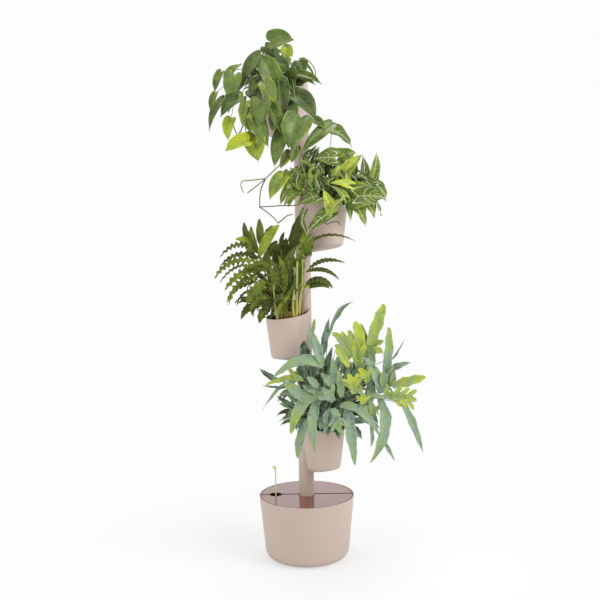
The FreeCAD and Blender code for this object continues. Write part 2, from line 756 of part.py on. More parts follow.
# Leaf blades of the two broad leaved plants: where the stalk meets the blade, its tip, its width
HEART_LEAVES = [
    ((-30, 0, 150), (35, 20, 168), 56),
    ((12, 10, 150), (15, 25, 97), 32),
    ((-45, -10, 140), (-15, -5, 112), 30),
    ((-25, 50, 32), (-66, 60, 126), 64),
    ((-70, 20, 122), (-127, 40, 26), 46),
    ((-137, 40, 60), (-153, 60, -27), 52),
    ((-160, 10, 52), (-121, 0, 94), 34),
    ((-187, 20, 68), (-210, 30, 8), 25),
    ((-204, 5, 12), (-216, 15, -60), 22),
    ((-174, 50, -10), (-225, 70, -110), 28),
    ((-127, 70, -8), (-187, 85, -66), 44),
    ((-69, 98, -16), (-61, 115, -92), 62),
    ((-24, 96, -34), (4, 104, -122), 34),
    ((-88, 92, -70), (-45, 104, -165), 42),
    ((-103, 80, -35), (-87, 95, -118), 42),
    ((-32, 86, 31), (-16, 104, -40), 38),
    ((-10, 66, 36), (4, 92, -82), 56),
    ((54, 68, 22), (130, 74, -92), 64),
    ((56, 95, -62), (15, 125, -168), 90),
    ((152, 60, -95), (47, 100, -176), 40),
    ((55, 0, 102), (85, 15, 62), 32),
    ((28, 22, 68), (102, 38, 42), 38),
    ((95, -5, 88), (112, 5, 40), 18),
    ((100, 12, 42), (124, 18, 26), 22),
    ((-163, 55, -137), (-174, 70, -72), 32),
    ((-103, 80, -142), (-171, 92, -183), 52),
    ((-60, 88, -95), (-73, 92, -198), 46),
    ((8, 84, -124), (-28, 92, -225), 42),
    ((0, 70, -255), (-47, 80, -328), 46),
    ((-100, 20, 62), (-58, 42, 18), 44),
    ((-18, 18, 100), (26, 30, 70), 34),
    ((-95, 45, 10), (-62, 66, -30), 42),
    ((-40, 28, 104), (-68, 38, 58), 44),
    ((-20, -42, 60), (28, -112, 24), 60),
    ((-70, -50, 80), (-112, -118, 40), 60),
    ((-112, -28, 34), (-162, -88, -30), 56),
    ((-34, -58, 122), (-20, -122, 72), 54),
    ((-64, -72, -6), (-78, -132, -98), 58),
    ((0, -28, 132), (32, -80, 112), 48),
    ((104, -44, 62), (150, -92, 2), 50),
    ((64, -112, 52), (82, -162, -38), 54),
    ((96, -16, 12), (142, -36, -58), 48),
]

ARROW_LEAVES = [
    ((20, 15, 237), (82, 25, 183), 46),
    ((30, 30, 152), (-36, 40, 146), 58),
    ((38, 5, 158), (94, 10, 152), 46),
    ((125, 20, 106), (112, 25, 160), 28),
    ((148, 10, 98), (158, 15, 162), 30),
    ((76, 75, 34), (176, 78, 26), 74),
    ((120, 35, 58), (184, 40, 12), 40),
    ((66, 72, 6), (78, 78, -54), 20),
    ((96, 70, -2), (124, 76, -70), 28),
    ((50, 60, 68), (22, 70, 88), 24),
    ((60, 45, 108), (112, 50, 150), 26),
    ((34, 50, 98), (26, 56, 128), 16),
    ((8, 84, 44), (60, 90, 18), 26),
    ((14, 96, -16), (58, 104, 26), 15),
    ((10, 90, -6), (-8, 98, 50), 26),
    ((-75, 45, 58), (-126, 50, 88), 38),
    ((-26, 78, 30), (-80, 84, 8), 60),
    ((-82, 50, 22), (-130, 55, -2), 30),
    ((-118, 35, 44), (-150, 40, 4), 26),
    ((-40, 25, 98), (-70, 30, 132), 36),
    ((4, 92, -20), (-62, 100, -76), 46),
    ((-10, 20, 120), (12, 30, 168), 30),
    ((80, 20, 120), (70, 30, 172), 30),
    ((110, 30, 84), (150, 40, 60), 34),
    ((40, 30, 60), (10, 50, 60), 30),
    ((20, -45, 110), (0, -100, 96), 52),
    ((70, -50, 96), (96, -106, 66), 54),
    ((112, -34, 66), (158, -70, 32), 48),
    ((40, -66, 42), (36, -122, -8), 54),
    ((90, -72, 20), (122, -112, -42), 46),
    ((136, -8, 26), (172, -20, -34), 40),
    ((50, -20, 140), (46, -66, 158), 44),
]

# Long leaves of the other two: the middle of the blade, its tip, its width, and the fern's lobes
WAVY_LEAVES = [
    ((-152, 30, 217), (-200, 45, 180), 20),
    ((-144, 55, 180), (-198, 75, 156), 20),
    ((-158, 35, 158), (-217, 55, 122), 20),
    ((-132, 70, 150), (-205, 95, 106), 18),
    ((-150, 55, 124), (-188, 75, 80), 20),
    ((-148, 40, 96), (-178, 55, 44), 20),
    ((-132, 70, 76), (-152, 90, 28), 14),
    ((-92, 95, 84), (-126, 112, 44), 32),
    ((-108, 80, 42), (-140, 95, -6), 22),
    ((-64, 86, 26), (-84, 100, -30), 28),
    ((-92, 92, 36), (-104, 106, 2), 14),
    ((-108, 20, 246), (-126, 25, 292), 20),
    ((-72, 30, 246), (-80, 40, 300), 26),
    ((-94, 50, 240), (-102, 60, 278), 18),
    ((-104, 70, 214), (-150, 85, 238), 20),
    ((-50, 10, 240), (-44, 15, 274), 22),
    ((34, 0, 226), (44, 5, 314), 20),
    ((40, 40, 210), (52, 50, 262), 22),
    ((122, 62, 246), (218, 50, 224), 14),
    ((106, 10, 172), (180, 10, 164), 12),
    ((112, 30, 138), (160, 35, 108), 14),
    ((96, 40, 110), (142, 50, 84), 26),
    ((56, 25, 212), (80, 30, 178), 20),
    ((-22, 40, 190), (-34, 50, 246), 22),
    ((-54, 70, 178), (-92, 88, 150), 22),
    ((-10, 75, 150), (-24, 85, 206), 22),
    ((8, 10, 190), (4, 15, 256), 22),
    ((-62, 85, 130), (-98, 102, 108), 24),
    ((-30, 92, 110), (-62, 108, 80), 24),
    ((16, 55, 130), (30, 62, 190), 22),
    ((-2, 96, 84), (-22, 108, 130), 24),
    ((14, 84, 60), (34, 96, 96), 16),
    ((-40, -60, 200), (-70, -110, 236), 22),
    ((-80, -50, 180), (-140, -100, 170), 22),
    ((-110, -30, 120), (-170, -62, 70), 22),
    ((-20, -74, 150), (-34, -150, 140), 22),
    ((-70, -70, 110), (-108, -132, 60), 22),
    ((-96, -20, 60), (-142, -40, 6), 24),
    ((118, -36, 170), (168, -74, 140), 20),
    ((6, -84, 210), (16, -136, 250), 20),
    ((-60, -20, 230), (-80, -50, 280), 22),
]

FERN_FRONDS = [
    ((-20, 100, 240), (-26, 106, 318), 26, 0),
    ((12, 20, 270), (24, 20, 336), 16, 0),
    ((44, -20, 340), (96, -10, 386), 14, 0),
    ((-52, 112, 196), (-150, 125, 150), 26, 1),
    ((-150, 90, 150), (-199, 100, 187), 18, 0),
    ((-95, 105, 128), (-169, 118, 126), 22, 2),
    ((-110, 75, 104), (-190, 88, 128), 10, 0),
    ((-88, 95, 74), (-146, 110, 98), 18, 1),
    ((-84, 80, 56), (-140, 92, 70), 16, 1),
    ((-92, 70, 40), (-142, 84, 20), 6, 0),
    ((-58, 112, 90), (-106, 128, -18), 30, 1),
    ((-62, 62, 50), (-88, 70, -97), 26, 0),
    ((-28, 118, 70), (-30, 122, -82), 26, 0),
    ((4, 120, 104), (26, 136, 66), 26, 1),
    ((34, 124, 58), (52, 140, 26), 18, 0),
    ((92, 112, 72), (170, 122, -42), 16, 0),
    ((78, 105, 30), (91, 118, -121), 32, 0),
    ((186, 76, 40), (142, 88, -115), 36, 0),
    ((186, 50, 10), (217, 60, -109), 10, 0),
    ((262, 38, 40), (308, 48, -88), 18, 0),
    ((98, 82, 12), (142, 96, -32), 14, 0),
    ((18, 92, 26), (8, 108, -34), 24, 1),
    ((48, 88, 24), (50, 106, -42), 24, 1),
    ((230, 40, 122), (314, 46, 150), 26, 2),
    ((222, 72, 84), (284, 84, 74), 22, 3),
    ((196, 62, 128), (188, 70, 172), 22, 0),
    ((214, 30, 130), (218, 30, 166), 20, 0),
    ((214, 10, 160), (268, 12, 194), 22, 0),
    ((194, 0, 226), (202, 0, 304), 32, 0),
    ((220, -20, 205), (252, -24, 272), 9, 0),
    ((150, -24, 276), (192, -20, 376), 28, 2),
    ((116, 26, 250), (96, 32, 326), 34, 2),
    ((82, 46, 246), (66, 54, 300), 26, 2),
    ((148, 6, 244), (192, 10, 262), 18, 1),
    ((150, 20, 218), (196, 24, 222), 18, 1),
    ((82, 84, 228), (72, 98, 176), 22, 3),
    ((56, 70, 232), (28, 84, 282), 18, 2),
    ((22, 92, 150), (32, 104, 216), 20, 0),
    ((6, 112, 148), (44, 128, 138), 14, 1),
    ((156, 66, 160), (122, 76, 214), 36, 1),
    ((86, 110, 140), (84, 128, 96), 20, 2),
    ((122, 96, 120), (160, 108, 100), 20, 2),
    ((-42, 112, 150), (-66, 122, 184), 24, 1),
    ((-52, 60, 120), (-84, 70, 158), 22, 0),
    ((-38, 122, 140), (-56, 138, 108), 22, 1),
    ((-78, 100, 112), (-118, 114, 134), 28, 1),
    ((20, -84, 150), (2, -164, 62), 26, 1),
    ((90, -92, 132), (140, -186, 30), 26, 1),
    ((-118, -14, 132), (-190, -40, 60), 24, 1),
    ((160, -76, 146), (232, -140, 70), 26, 2),
    ((62, -104, 196), (84, -192, 206), 24, 2),
    ((4, -112, 96), (-14, -190, -6), 22, 0),
    ((120, -30, 180), (160, -90, 240), 26, 1),
    ((206, -40, 90), (262, -90, 20), 22, 0),
]

# Trailing stems of the top plant, as points
VINES = [
    [
        (-12, 20, 3),
        (0, 62, 42),
        (12, 96, -40),
        (24, 106, -150),
        (15, 96, -192),
        (-56, 84, -262),
        (-113, 82, -306),
    ],
    [
        (6, 20, 3),
        (30, 62, 40),
        (40, 96, -60),
        (42, 100, -160),
        (68, 84, -260),
        (52, 78, -338),
        (-12, 74, -346),
        (-76, 74, -349),
    ],
    [(-76, 74, -349), (-40, 76, -362), (-15, 78, -384), (-8, 80, -397)],
    [(-56, 84, -262), (-72, 74, -300), (-76, 74, -349)],
    [
        (-20, 20, 3),
        (-70, 62, 45),
        (-112, 78, -10),
        (-118, 80, -90),
        (-103, 80, -142),
    ],
    [(-118, 80, -90), (-140, 70, -125), (-163, 55, -137)],
    [(24, 106, -150), (14, 95, -138), (8, 84, -124)],
    [(68, 84, -260), (30, 80, -238), (0, 70, -255)],
]


def seen(spot):
    """A place given as (right, front, up) as a vector."""
    right, front, up = spot
    return Vector(right, -front, up)


def bend_through(start, middle, end, share):
    """A point of the parabola that runs from start to end and passes middle halfway."""
    control = middle * 2 - (start + end) * 0.5
    rest = 1 - share
    return start * (rest * rest) + control * (2 * rest * share) + end * (share * share)


def outward_from(spot):
    """The level direction from the pot's middle to this spot."""
    outward = Vector(spot.x, spot.y, 0)
    return outward.normalize() if outward.Length > 1 else outward


def bulge_direction(spot):
    """The way a leaf's back bends: up, and away from the pot's middle."""
    toward_front = FRONT * (0.3 if spot.y <= 0 else 0)
    return (outward_from(spot) * 0.6 + UP * 0.7 + toward_front).normalize()


def face_direction(spot):
    """Where a leaf's upper side looks: outward and up behind the column, and towards the light in front."""
    to_front = min(max(0.7 - spot.y / 50, 0), 1)
    behind = outward_from(spot) * 0.7 + UP * 0.6
    window = outward_from(spot) * 0.25 + UP * 0.4 + FRONT
    return (behind * (1 - to_front) + window * to_front).normalize()


def closed_solid(points, triangles):
    shell = Part.Shape()
    shell.makeShapeFromMesh((points, triangles), 0.001)
    solid = Part.Solid(Part.Shell(shell.Faces))
    if solid.Volume < 0:
        solid.reverse()
    return solid


def blade(start, middle, end, width, outline):
    """A leaf blade that follows a parabola, with the outline on both sides, folded along its midrib."""
    length = (middle - start).Length + (end - middle).Length
    fold = value("leaf_fold")
    half_thickness = value("leaf_thickness") / 2
    look = face_direction(middle)
    top = []
    bottom = []

    def add(along, aside):
        share = min(max(along, 0), 1)
        spot = bend_through(start, middle, end, share)
        ahead = bend_through(start, middle, end, share + 0.01) - bend_through(start, middle, end, share - 0.01)
        ahead.normalize()
        side = ahead.cross(look)
        side.normalize()
        normal = side.cross(ahead)
        spot = spot + ahead * (min(along, 0) * length) + side * (aside * width) + normal * (abs(aside) * width * fold)
        top.append(spot + normal * half_thickness)
        bottom.append(spot - normal * half_thickness)
        return len(top) - 1

    tip = add(1, 0)
    root = add(0, 0)
    ribs = [root if along <= 0 else add(along, 0) for along, _ in outline]
    faces = []
    rims = {}
    for sign in (1, -1):
        rim = [add(along, sign * aside) for along, aside in outline]
        rims[sign] = rim
        patch = [(root, rim[0], ribs[0])] if ribs[0] != root else []
        for i in range(len(outline) - 1):
            patch.append((ribs[i], rim[i], rim[i + 1]))
            if ribs[i] != ribs[i + 1]:
                patch.append((ribs[i], rim[i + 1], ribs[i + 1]))
        patch.append((ribs[-1], rim[-1], tip))
        faces += [face if sign > 0 else face[::-1] for face in patch]
    below = len(top)
    border = [root] + rims[1] + [tip] + rims[-1][::-1]
    triangles = list(faces) + [(c + below, b + below, a + below) for a, b, c in faces]
    for a, b in zip(border, border[1:] + border[:1]):
        triangles += [(b, a, a + below), (b, a + below, b + below)]
    return closed_solid(top + bottom, triangles)


def rod_along(spots, radius, from_soil=True):
    """A three sided rod along the spots; where it comes from the soil, its foot is level."""
    points = []
    triangles = []
    for i, spot in enumerate(spots):
        ahead = spots[min(i + 1, len(spots) - 1)] - spots[max(i - 1, 0)]
        if i == 0 and from_soil:
            ahead = UP
        across = ahead.cross(Vector(0.31, 0.95, 0.05))
        across.normalize()
        other = ahead.cross(across)
        other.normalize()
        for corner in range(3):
            angle = math.radians(120 * corner)
            points.append(spot + across * (radius * math.cos(angle)) + other * (radius * math.sin(angle)))
    for i in range(len(spots) - 1):
        for corner in range(3):
            a = 3 * i + corner
            b = 3 * i + (corner + 1) % 3
            triangles += [(a, b, b + 3), (a, b + 3, a + 3)]
    last = len(points) - 3
    triangles += [(0, 2, 1), (last, last + 1, last + 2)]
    return closed_solid(points, triangles)


def root_of(spot, level):
    """Where a stalk that leads to this spot leaves the soil."""
    flat = Vector(spot.x, spot.y, 0)
    reach = min(flat.Length * 0.25, value("root_spread"))
    if flat.Length > 0:
        flat.normalize()
    flat = flat * reach
    turn = math.radians(PHOTOGRAPHED_TURN[level])
    outward = Vector(math.sin(turn), -math.cos(turn), 0)
    fall = flat.dot(outward) * math.tan(math.radians(value("rim_slope")))
    return flat + UP * (value("soft_clearance") - fall)


def stalk(root, top, radius):
    """A stalk that leaves the soil upright and bends over to its leaf, wider where it hangs over the rim."""
    reach = top - root
    drop = max(0, 30 - reach.z)
    flat = Vector(reach.x, reach.y, 0)
    control = root + UP * (reach.Length * 0.62 + drop * 0.5) + flat * min(0.7, drop / 100)
    spots = []
    for i in range(5):
        share = i / 4
        rest = 1 - share
        spots.append(root * (rest * rest) + control * (2 * rest * share) + top * (share * share))
    return rod_along(spots, radius)


def broad_leaf(base, tip, width, outline, level, radius):
    start = seen(base)
    end = seen(tip)
    middle = (start + end) * 0.5
    middle = middle + bulge_direction(middle) * ((end - start).Length * 0.08)
    made = [blade(start, middle, end, width, outline)]
    if start.z > -120:
        made.append(stalk(root_of(start, level), start, radius))
    return made


def long_leaf(bend, tip, width, outline, level, radius, lobes):
    """A strap on a stalk; lobes is how many fingers it has on each side."""
    middle = seen(bend)
    end = seen(tip)
    root = root_of(middle, level)
    start = root + (middle - root) * 0.5 + UP * (middle - root).Length * 0.1
    made = [blade(start, middle, end, width, outline), stalk(root, start, radius)]
    look = face_direction(middle)
    for number in range(lobes):
        share = 0.25 + 0.2 * number
        foot = bend_through(start, middle, end, share)
        ahead = (bend_through(start, middle, end, share + 0.05) - foot).normalize()
        side = ahead.cross(look).normalize()
        for sign in (1, -1):
            reach = (side * (sign * 0.8) + ahead * 0.75) * (width * 1.5)
            made.append(blade(foot, foot + reach * 0.5 + look * (width * 0.12), foot + reach, width * 0.55, LOBE))
    return made


def plant_place(level):
    """From the middle of the soil as photographed to where the level stands now."""
    turn = value(f"turn_{level}")
    photographed = PHOTOGRAPHED_TURN[level]
    angle = math.radians(photographed)
    soil = value("pot_floor + pot_depth - soil_below_rim")
    offset = value("pot_offset")
    middle = Vector(offset * math.sin(angle), -offset * math.cos(angle), soil)
    lift = Placement(Vector(0, 0, value(joint_height(level))), Rotation(UP, turn - photographed))
    return lift.multiply(Placement(middle, Rotation()))


def make_plants():
    stalk_radius = value("stalk_radius")
    heart = []
    for base, tip, width in HEART_LEAVES:
        heart += broad_leaf(base, tip, width, HEART, 4, stalk_radius)
    for vine in VINES:
        spots = [seen(spot) for spot in vine]
        heart.append(rod_along(spots, value("vine_radius"), from_soil=spots[0].z > 0))
    arrow = []
    for base, tip, width in ARROW_LEAVES:
        arrow += broad_leaf(base, tip, width, ARROW, 3, stalk_radius)
    wavy = []
    for bend, tip, width in WAVY_LEAVES:
        wavy += long_leaf(bend, tip, width, LANCE, 2, stalk_radius, 0)
    fern = []
    for bend, tip, width, lobes in FERN_FRONDS:
        fern += long_leaf(bend, tip, width, STRAP, 1, stalk_radius, lobes)
    plants = {
        "heart_leaf_plant": (heart, 4),
        "arrowhead_plant": (arrow, 3),
        "wavy_leaf_plant": (wavy, 2),
        "strap_fern": (fern, 1),
    }
    for label, (solids, level) in plants.items():
        made = doc.addObject("Part::Feature", label)
        made.Shape = Part.makeCompound(solids)
        made.Placement = plant_place(level)
        keep(label, made)


tub = make_tub()
make_feet()
make_gland(tub)
make_lid()
make_column_foot()
make_column()
make_pump()
make_hose()
make_gauge()
make_levels()
make_plants()


def check_and_write():
    """Stops if anything failed, then writes one STEP file for each node."""
    doc.recompute()
    failed = [o.Name for o in doc.Objects if "Invalid" in o.State or "Error" in o.State]
    if failed:
        raise SystemExit(f"failed to compute: {failed}")
    os.makedirs("parts", exist_ok=True)
    for label, made in nodes.items():
        shape = made.Shape
        if shape.isNull() or not shape.isValid() or not shape.Solids:
            raise SystemExit(f"{label} has no valid solid")
        shape.exportStep(f"parts/{label}.step")
        print(label, len(shape.Solids), "solids", round(shape.Volume / 1000, 1), "cm3")


check_and_write()
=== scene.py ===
# %% [markdown]
# # A planter tower and its four plants
# The tower is plain moulded plastic, so its pieces come from the CAD frame and only get their finish here.
# The plants are what the eye goes to. Each leaf is a surface worked out with numpy: a few listed places
# say where it starts and ends, and a formula gives its outline, its fold and its ripple.

# %% The frame that everything is built around
import functools
import json
import math

import bpy
import numpy as np
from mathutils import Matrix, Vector


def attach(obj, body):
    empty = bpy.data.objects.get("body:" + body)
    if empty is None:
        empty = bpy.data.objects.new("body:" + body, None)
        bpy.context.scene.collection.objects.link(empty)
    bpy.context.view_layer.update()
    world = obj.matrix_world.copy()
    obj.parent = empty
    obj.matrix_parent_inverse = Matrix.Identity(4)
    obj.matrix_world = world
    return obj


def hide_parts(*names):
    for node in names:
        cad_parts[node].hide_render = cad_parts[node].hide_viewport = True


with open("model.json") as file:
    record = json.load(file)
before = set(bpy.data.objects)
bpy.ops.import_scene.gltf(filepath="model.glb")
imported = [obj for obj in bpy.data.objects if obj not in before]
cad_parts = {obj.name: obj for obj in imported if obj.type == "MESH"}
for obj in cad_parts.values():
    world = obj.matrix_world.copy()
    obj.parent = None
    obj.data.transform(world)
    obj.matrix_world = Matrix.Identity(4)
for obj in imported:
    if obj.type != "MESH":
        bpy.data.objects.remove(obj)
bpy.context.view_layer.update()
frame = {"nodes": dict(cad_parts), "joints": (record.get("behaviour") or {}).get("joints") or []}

# %% Measures that the looks share
MM = 0.001
LEVELS = (1, 2, 3, 4)
UP = np.array([0.0, 0.0, 1.0])
FRONT = np.array([0.0, -1.0, 0.0])
TURN = {1: 43, 2: -40, 3: 66, 4: -42}  # degrees from the front towards the right
POT_OFFSET = 84 * MM
SOIL_ABOVE_JOINT = 155 * MM
RIM_SLOPE = math.radians(11)
COLUMN_RADIUS = 24 * MM
CAMERA_PLACE = (-0.011, -2.230, 0.864)  # metres; leaves are placed as seen from here

joint_height = {joint["child"]: joint["pos_m"][2] for joint in frame["joints"] if joint["type"] == "hinge"}


def outward_of(level):
    """The level direction from the column to this level's pot."""
    turn = math.radians(TURN[level])
    return np.array([math.sin(turn), -math.cos(turn), 0.0])


def soil_middle(level):
    """The point of the soil's surface on the pot's axis."""
    return outward_of(level) * POT_OFFSET + UP * (joint_height[f"level_{level}"] + SOIL_ABOVE_JOINT)


print("soil", {level: soil_middle(level).round(3).tolist() for level in LEVELS})

# %% [markdown]
# ## Shader maths as Python
# A socket is wrapped in a small class, so that `0.3 + 0.2 * noise` adds its own Math nodes. Every other node
# comes from one method. That keeps a finish readable: a line says what the surface does.


# %% A socket with operators, and what makes nodes
class Wire:
    """An output socket. Each operator on it adds one Math node."""

    def __init__(self, maker, socket):
        self.maker = maker
        self.socket = socket

    def math(self, operation, *others):
        links = dict(enumerate((self, *others)))
        return self.maker.node("ShaderNodeMath", {"operation": operation}, links)

    def __add__(self, other):
        return self.math("ADD", other)

    def __mul__(self, other):
        return self.math("MULTIPLY", other)

    def __sub__(self, other):
        return self.math("SUBTRACT", other)

    def __rsub__(self, other):
        return self.maker.node("ShaderNodeMath", {"operation": "SUBTRACT"}, {0: other, 1: self})

    __radd__ = __add__
    __rmul__ = __mul__

    def fraction(self):
        return self.math("FRACT")

    def size(self):
        return self.math("ABSOLUTE")

    def larger(self, other):
        return self.math("MAXIMUM", other)


class Nodes:
    """The node tree of a material or a world in the making. It ends in one output node."""

    def __init__(self, owner, output_kind):
        owner.use_nodes = True
        self.tree = owner.node_tree
        self.tree.nodes.clear()
        self.output = self.tree.nodes.new(output_kind)

    def feed(self, socket, given):
        """Links a wire to an input socket, or writes a value into it."""
        if isinstance(given, Wire):
            self.tree.links.new(given.socket, socket)
        else:
            socket.default_value = given

    def node(self, kind, settings=None, links=None, output=0):
        """Adds a node: its settings first, then the values or links of its sockets."""
        made = self.tree.nodes.new(kind)
        for name, setting in (settings or {}).items():
            if name == "stops":
                self.set_stops(made.color_ramp, setting)
            else:
                setattr(made, name, setting)
        for place, given in (links or {}).items():
            self.feed(made.inputs[place], given)
        return Wire(self, made.outputs[output])

    def set_stops(self, ramp, stops):
        while len(ramp.elements) < len(stops):
            ramp.elements.new(0.5)
        for element, (place, colour) in zip(ramp.elements, stops):
            element.position = place
            element.color = colour

    def ray(self, kind):
        """1 for a ray of this kind, such as Camera, and 0 for others."""
        return self.node("ShaderNodeLightPath", output=f"Is {kind} Ray")

    def blend(self, factor, first, second):
        """A blend of two shaders."""
        return self.node("ShaderNodeMixShader", links={"Fac": factor, 1: first, 2: second})

    def show(self, shader):
        """Links a shader to the output, in place of the one before."""
        self.feed(self.output.inputs["Surface"], shader)


class Paint(Nodes):
    """A material in the making, around one Principled shader."""

    def __init__(self, name, **sockets):
        self.material = bpy.data.materials.new(name)
        super().__init__(self.material, "ShaderNodeOutputMaterial")
        self.surface = self.tree.nodes.new("ShaderNodeBsdfPrincipled")
        self.shader = Wire(self, self.surface.outputs["BSDF"])
        self.show(self.shader)
        self.set(**sockets)

    def set(self, **sockets):
        """Feeds inputs of the shader. Their names have _ where Blender's have a space."""
        for name, given in sockets.items():
            self.feed(self.surface.inputs[name.replace("_", " ")], given)

    def place(self):
        return self.node("ShaderNodeTexCoord", output="Object")

    def coordinate(self, axis):
        return self.node("ShaderNodeSeparateXYZ", links={0: self.place()}, output=axis)

    def mark(self, name):
        """A number that the mesh carries at each point."""
        return self.node("ShaderNodeAttribute", {"attribute_name": name}, output="Fac")

    def noise(self, scale, detail, stretch=None):
        vector = self.place()
        if stretch:
            vector = self.node("ShaderNodeMapping", links={"Vector": vector, "Scale": stretch})
        return self.node("ShaderNodeTexNoise", links={"Vector": vector, "Scale": scale, "Detail": detail})

    def smooth(self, low, high, wire):
        """0 below low, 1 above high, and a soft step between."""
        links = {"Value": wire, "From Min": low, "From Max": high}
        return self.node("ShaderNodeMapRange", {"interpolation_type": "SMOOTHSTEP"}, links)

    def ramp(self, wire, *stops):
        return self.node("ShaderNodeValToRGB", {"stops": stops}, {"Fac": wire}, output="Color")

    def mix(self, factor, first, second):
        """A blend of two colours."""
        links = {0: factor, 6: first, 7: second}
        return self.node("ShaderNodeMix", {"data_type": "RGBA"}, links, output=2)

    def bump(self, height, distance):
        links = {"Height": height, "Distance": distance, "Strength": 1.0}
        self.set(Normal=self.node("ShaderNodeBump", links=links))


def tint(red, green, blue):
    """A colour as it is read off a screen, 0 to 255, made linear for the renderer."""
    screen = np.array([red, green, blue]) / 255
    linear = np.where(screen <= 0.04045, screen / 12.92, ((screen + 0.055) / 1.055) ** 2.4)
    return (*linear.tolist(), 1.0)


# %% [markdown]
# ## Plastic and rubber
# The tub, the pots and the column are one greige plastic with the fine matt grain of a spark eroded mould.
# The grain is a bump, so it catches light without speckling the colour, and a broad soft noise keeps the
# large faces from looking printed.


# %% Moulded plastic
def moulded(name, light, dark, roughness, grain, depth):
    """Moulded plastic: light and dark are the two tones that drift over it, grain the scale of its bump per
    metre and depth the bump's height."""
    paint = Paint(name)
    drift = paint.noise(5, 2)
    scuff = paint.noise(60, 5)
    paint.set(Base_Color=paint.mix(drift, dark, light), Roughness=roughness + 0.12 * scuff)
    paint.bump(paint.noise(grain, 2), depth)
    return paint.material


GREIGE = moulded("greige_plastic", tint(196, 177, 165), tint(188, 169, 156), 0.42, 1800, 0.08 * MM)
BLACK = moulded("black_plastic", tint(38, 38, 38), tint(28, 28, 28), 0.4, 1500, 0.08 * MM)
LIME = moulded("lime_plastic", tint(214, 236, 142), tint(202, 229, 124), 0.16, 300, 0.02 * MM)
RUBBER = moulded("black_rubber", tint(40, 39, 38), tint(30, 29, 28), 0.62, 900, 0.1 * MM)
HOSE = moulded("milky_hose", tint(206, 208, 204), tint(190, 193, 190), 0.3, 300, 0.02 * MM)

# %% [markdown]
# The lid is the same plastic in dark red brown, polished. Its look is nearly all reflection: seen this flat
# it mirrors the pale studio, and only under the column does the brown come through. A little haze in the
# roughness keeps the mirror from being perfect. The plate's edges lie in its gaps, and they and the softened
# lip on both sides of the seam are dull and painted a near black brown: painted shade for the gaps.


# %% Polished lid
LID_TOP = 194.4 * MM
# Heights under the lid's top: below the first, the gaps get painted shade and no polish; above the second,
# the brown shows, polished
PAINTED_SHADE_ENDS_POLISH_STARTS = LID_TOP - 1.2 * MM
PAINTED_SHADE_GONE_POLISH_FULL = LID_TOP - 0.1 * MM
SEAM_LIP = 3.5 * MM


def polished_lid():
    paint = Paint("polished_brown_plastic", Coat_Roughness=0.05)
    haze = paint.noise(14, 4)
    wipe = paint.noise(9, 3, stretch=(1.0, 9.0, 1.0))
    on_top = paint.smooth(PAINTED_SHADE_ENDS_POLISH_STARTS, PAINTED_SHADE_GONE_POLISH_FULL, paint.coordinate("Z"))
    flat = on_top * paint.smooth(SEAM_LIP * 0.5, SEAM_LIP, paint.coordinate("Y").size())
    brown = paint.mix(haze, tint(110, 40, 16), tint(124, 47, 21))
    paint.set(
        # Painted shade: off the flat top, in the gaps and on the lip by the seam, the colour is a near black
        # brown
        Base_Color=paint.mix(flat, tint(30, 11, 8), brown),
        Roughness=0.1 + 0.1 * wipe + 0.4 * (1.0 - flat),
        Coat_Weight=0.68 * flat,
    )
    paint.bump(paint.noise(30, 2), 0.03 * MM)
    return paint.material


LID = polished_lid()


# %% Felt of the wicks
def felt():
    paint = Paint("white_felt", Roughness=0.95)
    fibre = paint.noise(700, 4, stretch=(1.0, 0.2, 1.0))
    paint.set(Base_Color=paint.ramp(fibre, (0.3, tint(196, 192, 182)), (0.7, tint(232, 229, 221))))
    paint.bump(fibre, 0.6 * MM)
    return paint.material


FELT = felt()

# %% Each hard piece gets its finish
FINISHES = [
    (GREIGE, ["tub", "column_foot", "base_column", "column_cap", "gauge_guide"]),
    (GREIGE, [f"column_tube_{level}" for level in LEVELS[:-1]]),
    (GREIGE, [f"pot_{level}" for level in LEVELS]),
    (LID, ["lid_front", "lid_back"]),
    (LIME, ["gauge_rod", "gauge_float"]),
    (BLACK, ["pump_body", "pump_cover", "drip_head"]),
    (BLACK, [f"water_ring_{level}" for level in LEVELS]),
    (RUBBER, ["tub_feet", "pump_feet", "cable_gland"]),
    (HOSE, ["riser_hose"]),
    (FELT, [f"wick_{level}" for level in LEVELS]),
]
for finish, names in FINISHES:
    for name in names:
        for slot in frame["nodes"][name].material_slots:
            slot.material = finish
print(sum(len(names) for finish, names in FINISHES), "hard pieces finished")

# %% [markdown]
# ## Surfaces as arrays
# Two kinds of closed skin are enough for everything that grows. A *skin* is a stack of rings with its ends
# closed: a stalk, a crumb of soil, the bed of soil itself. A *leaf* is a sheet with an upper and a lower
# face that share their edge. Both come as whole arrays and are gathered into one mesh for each plant.


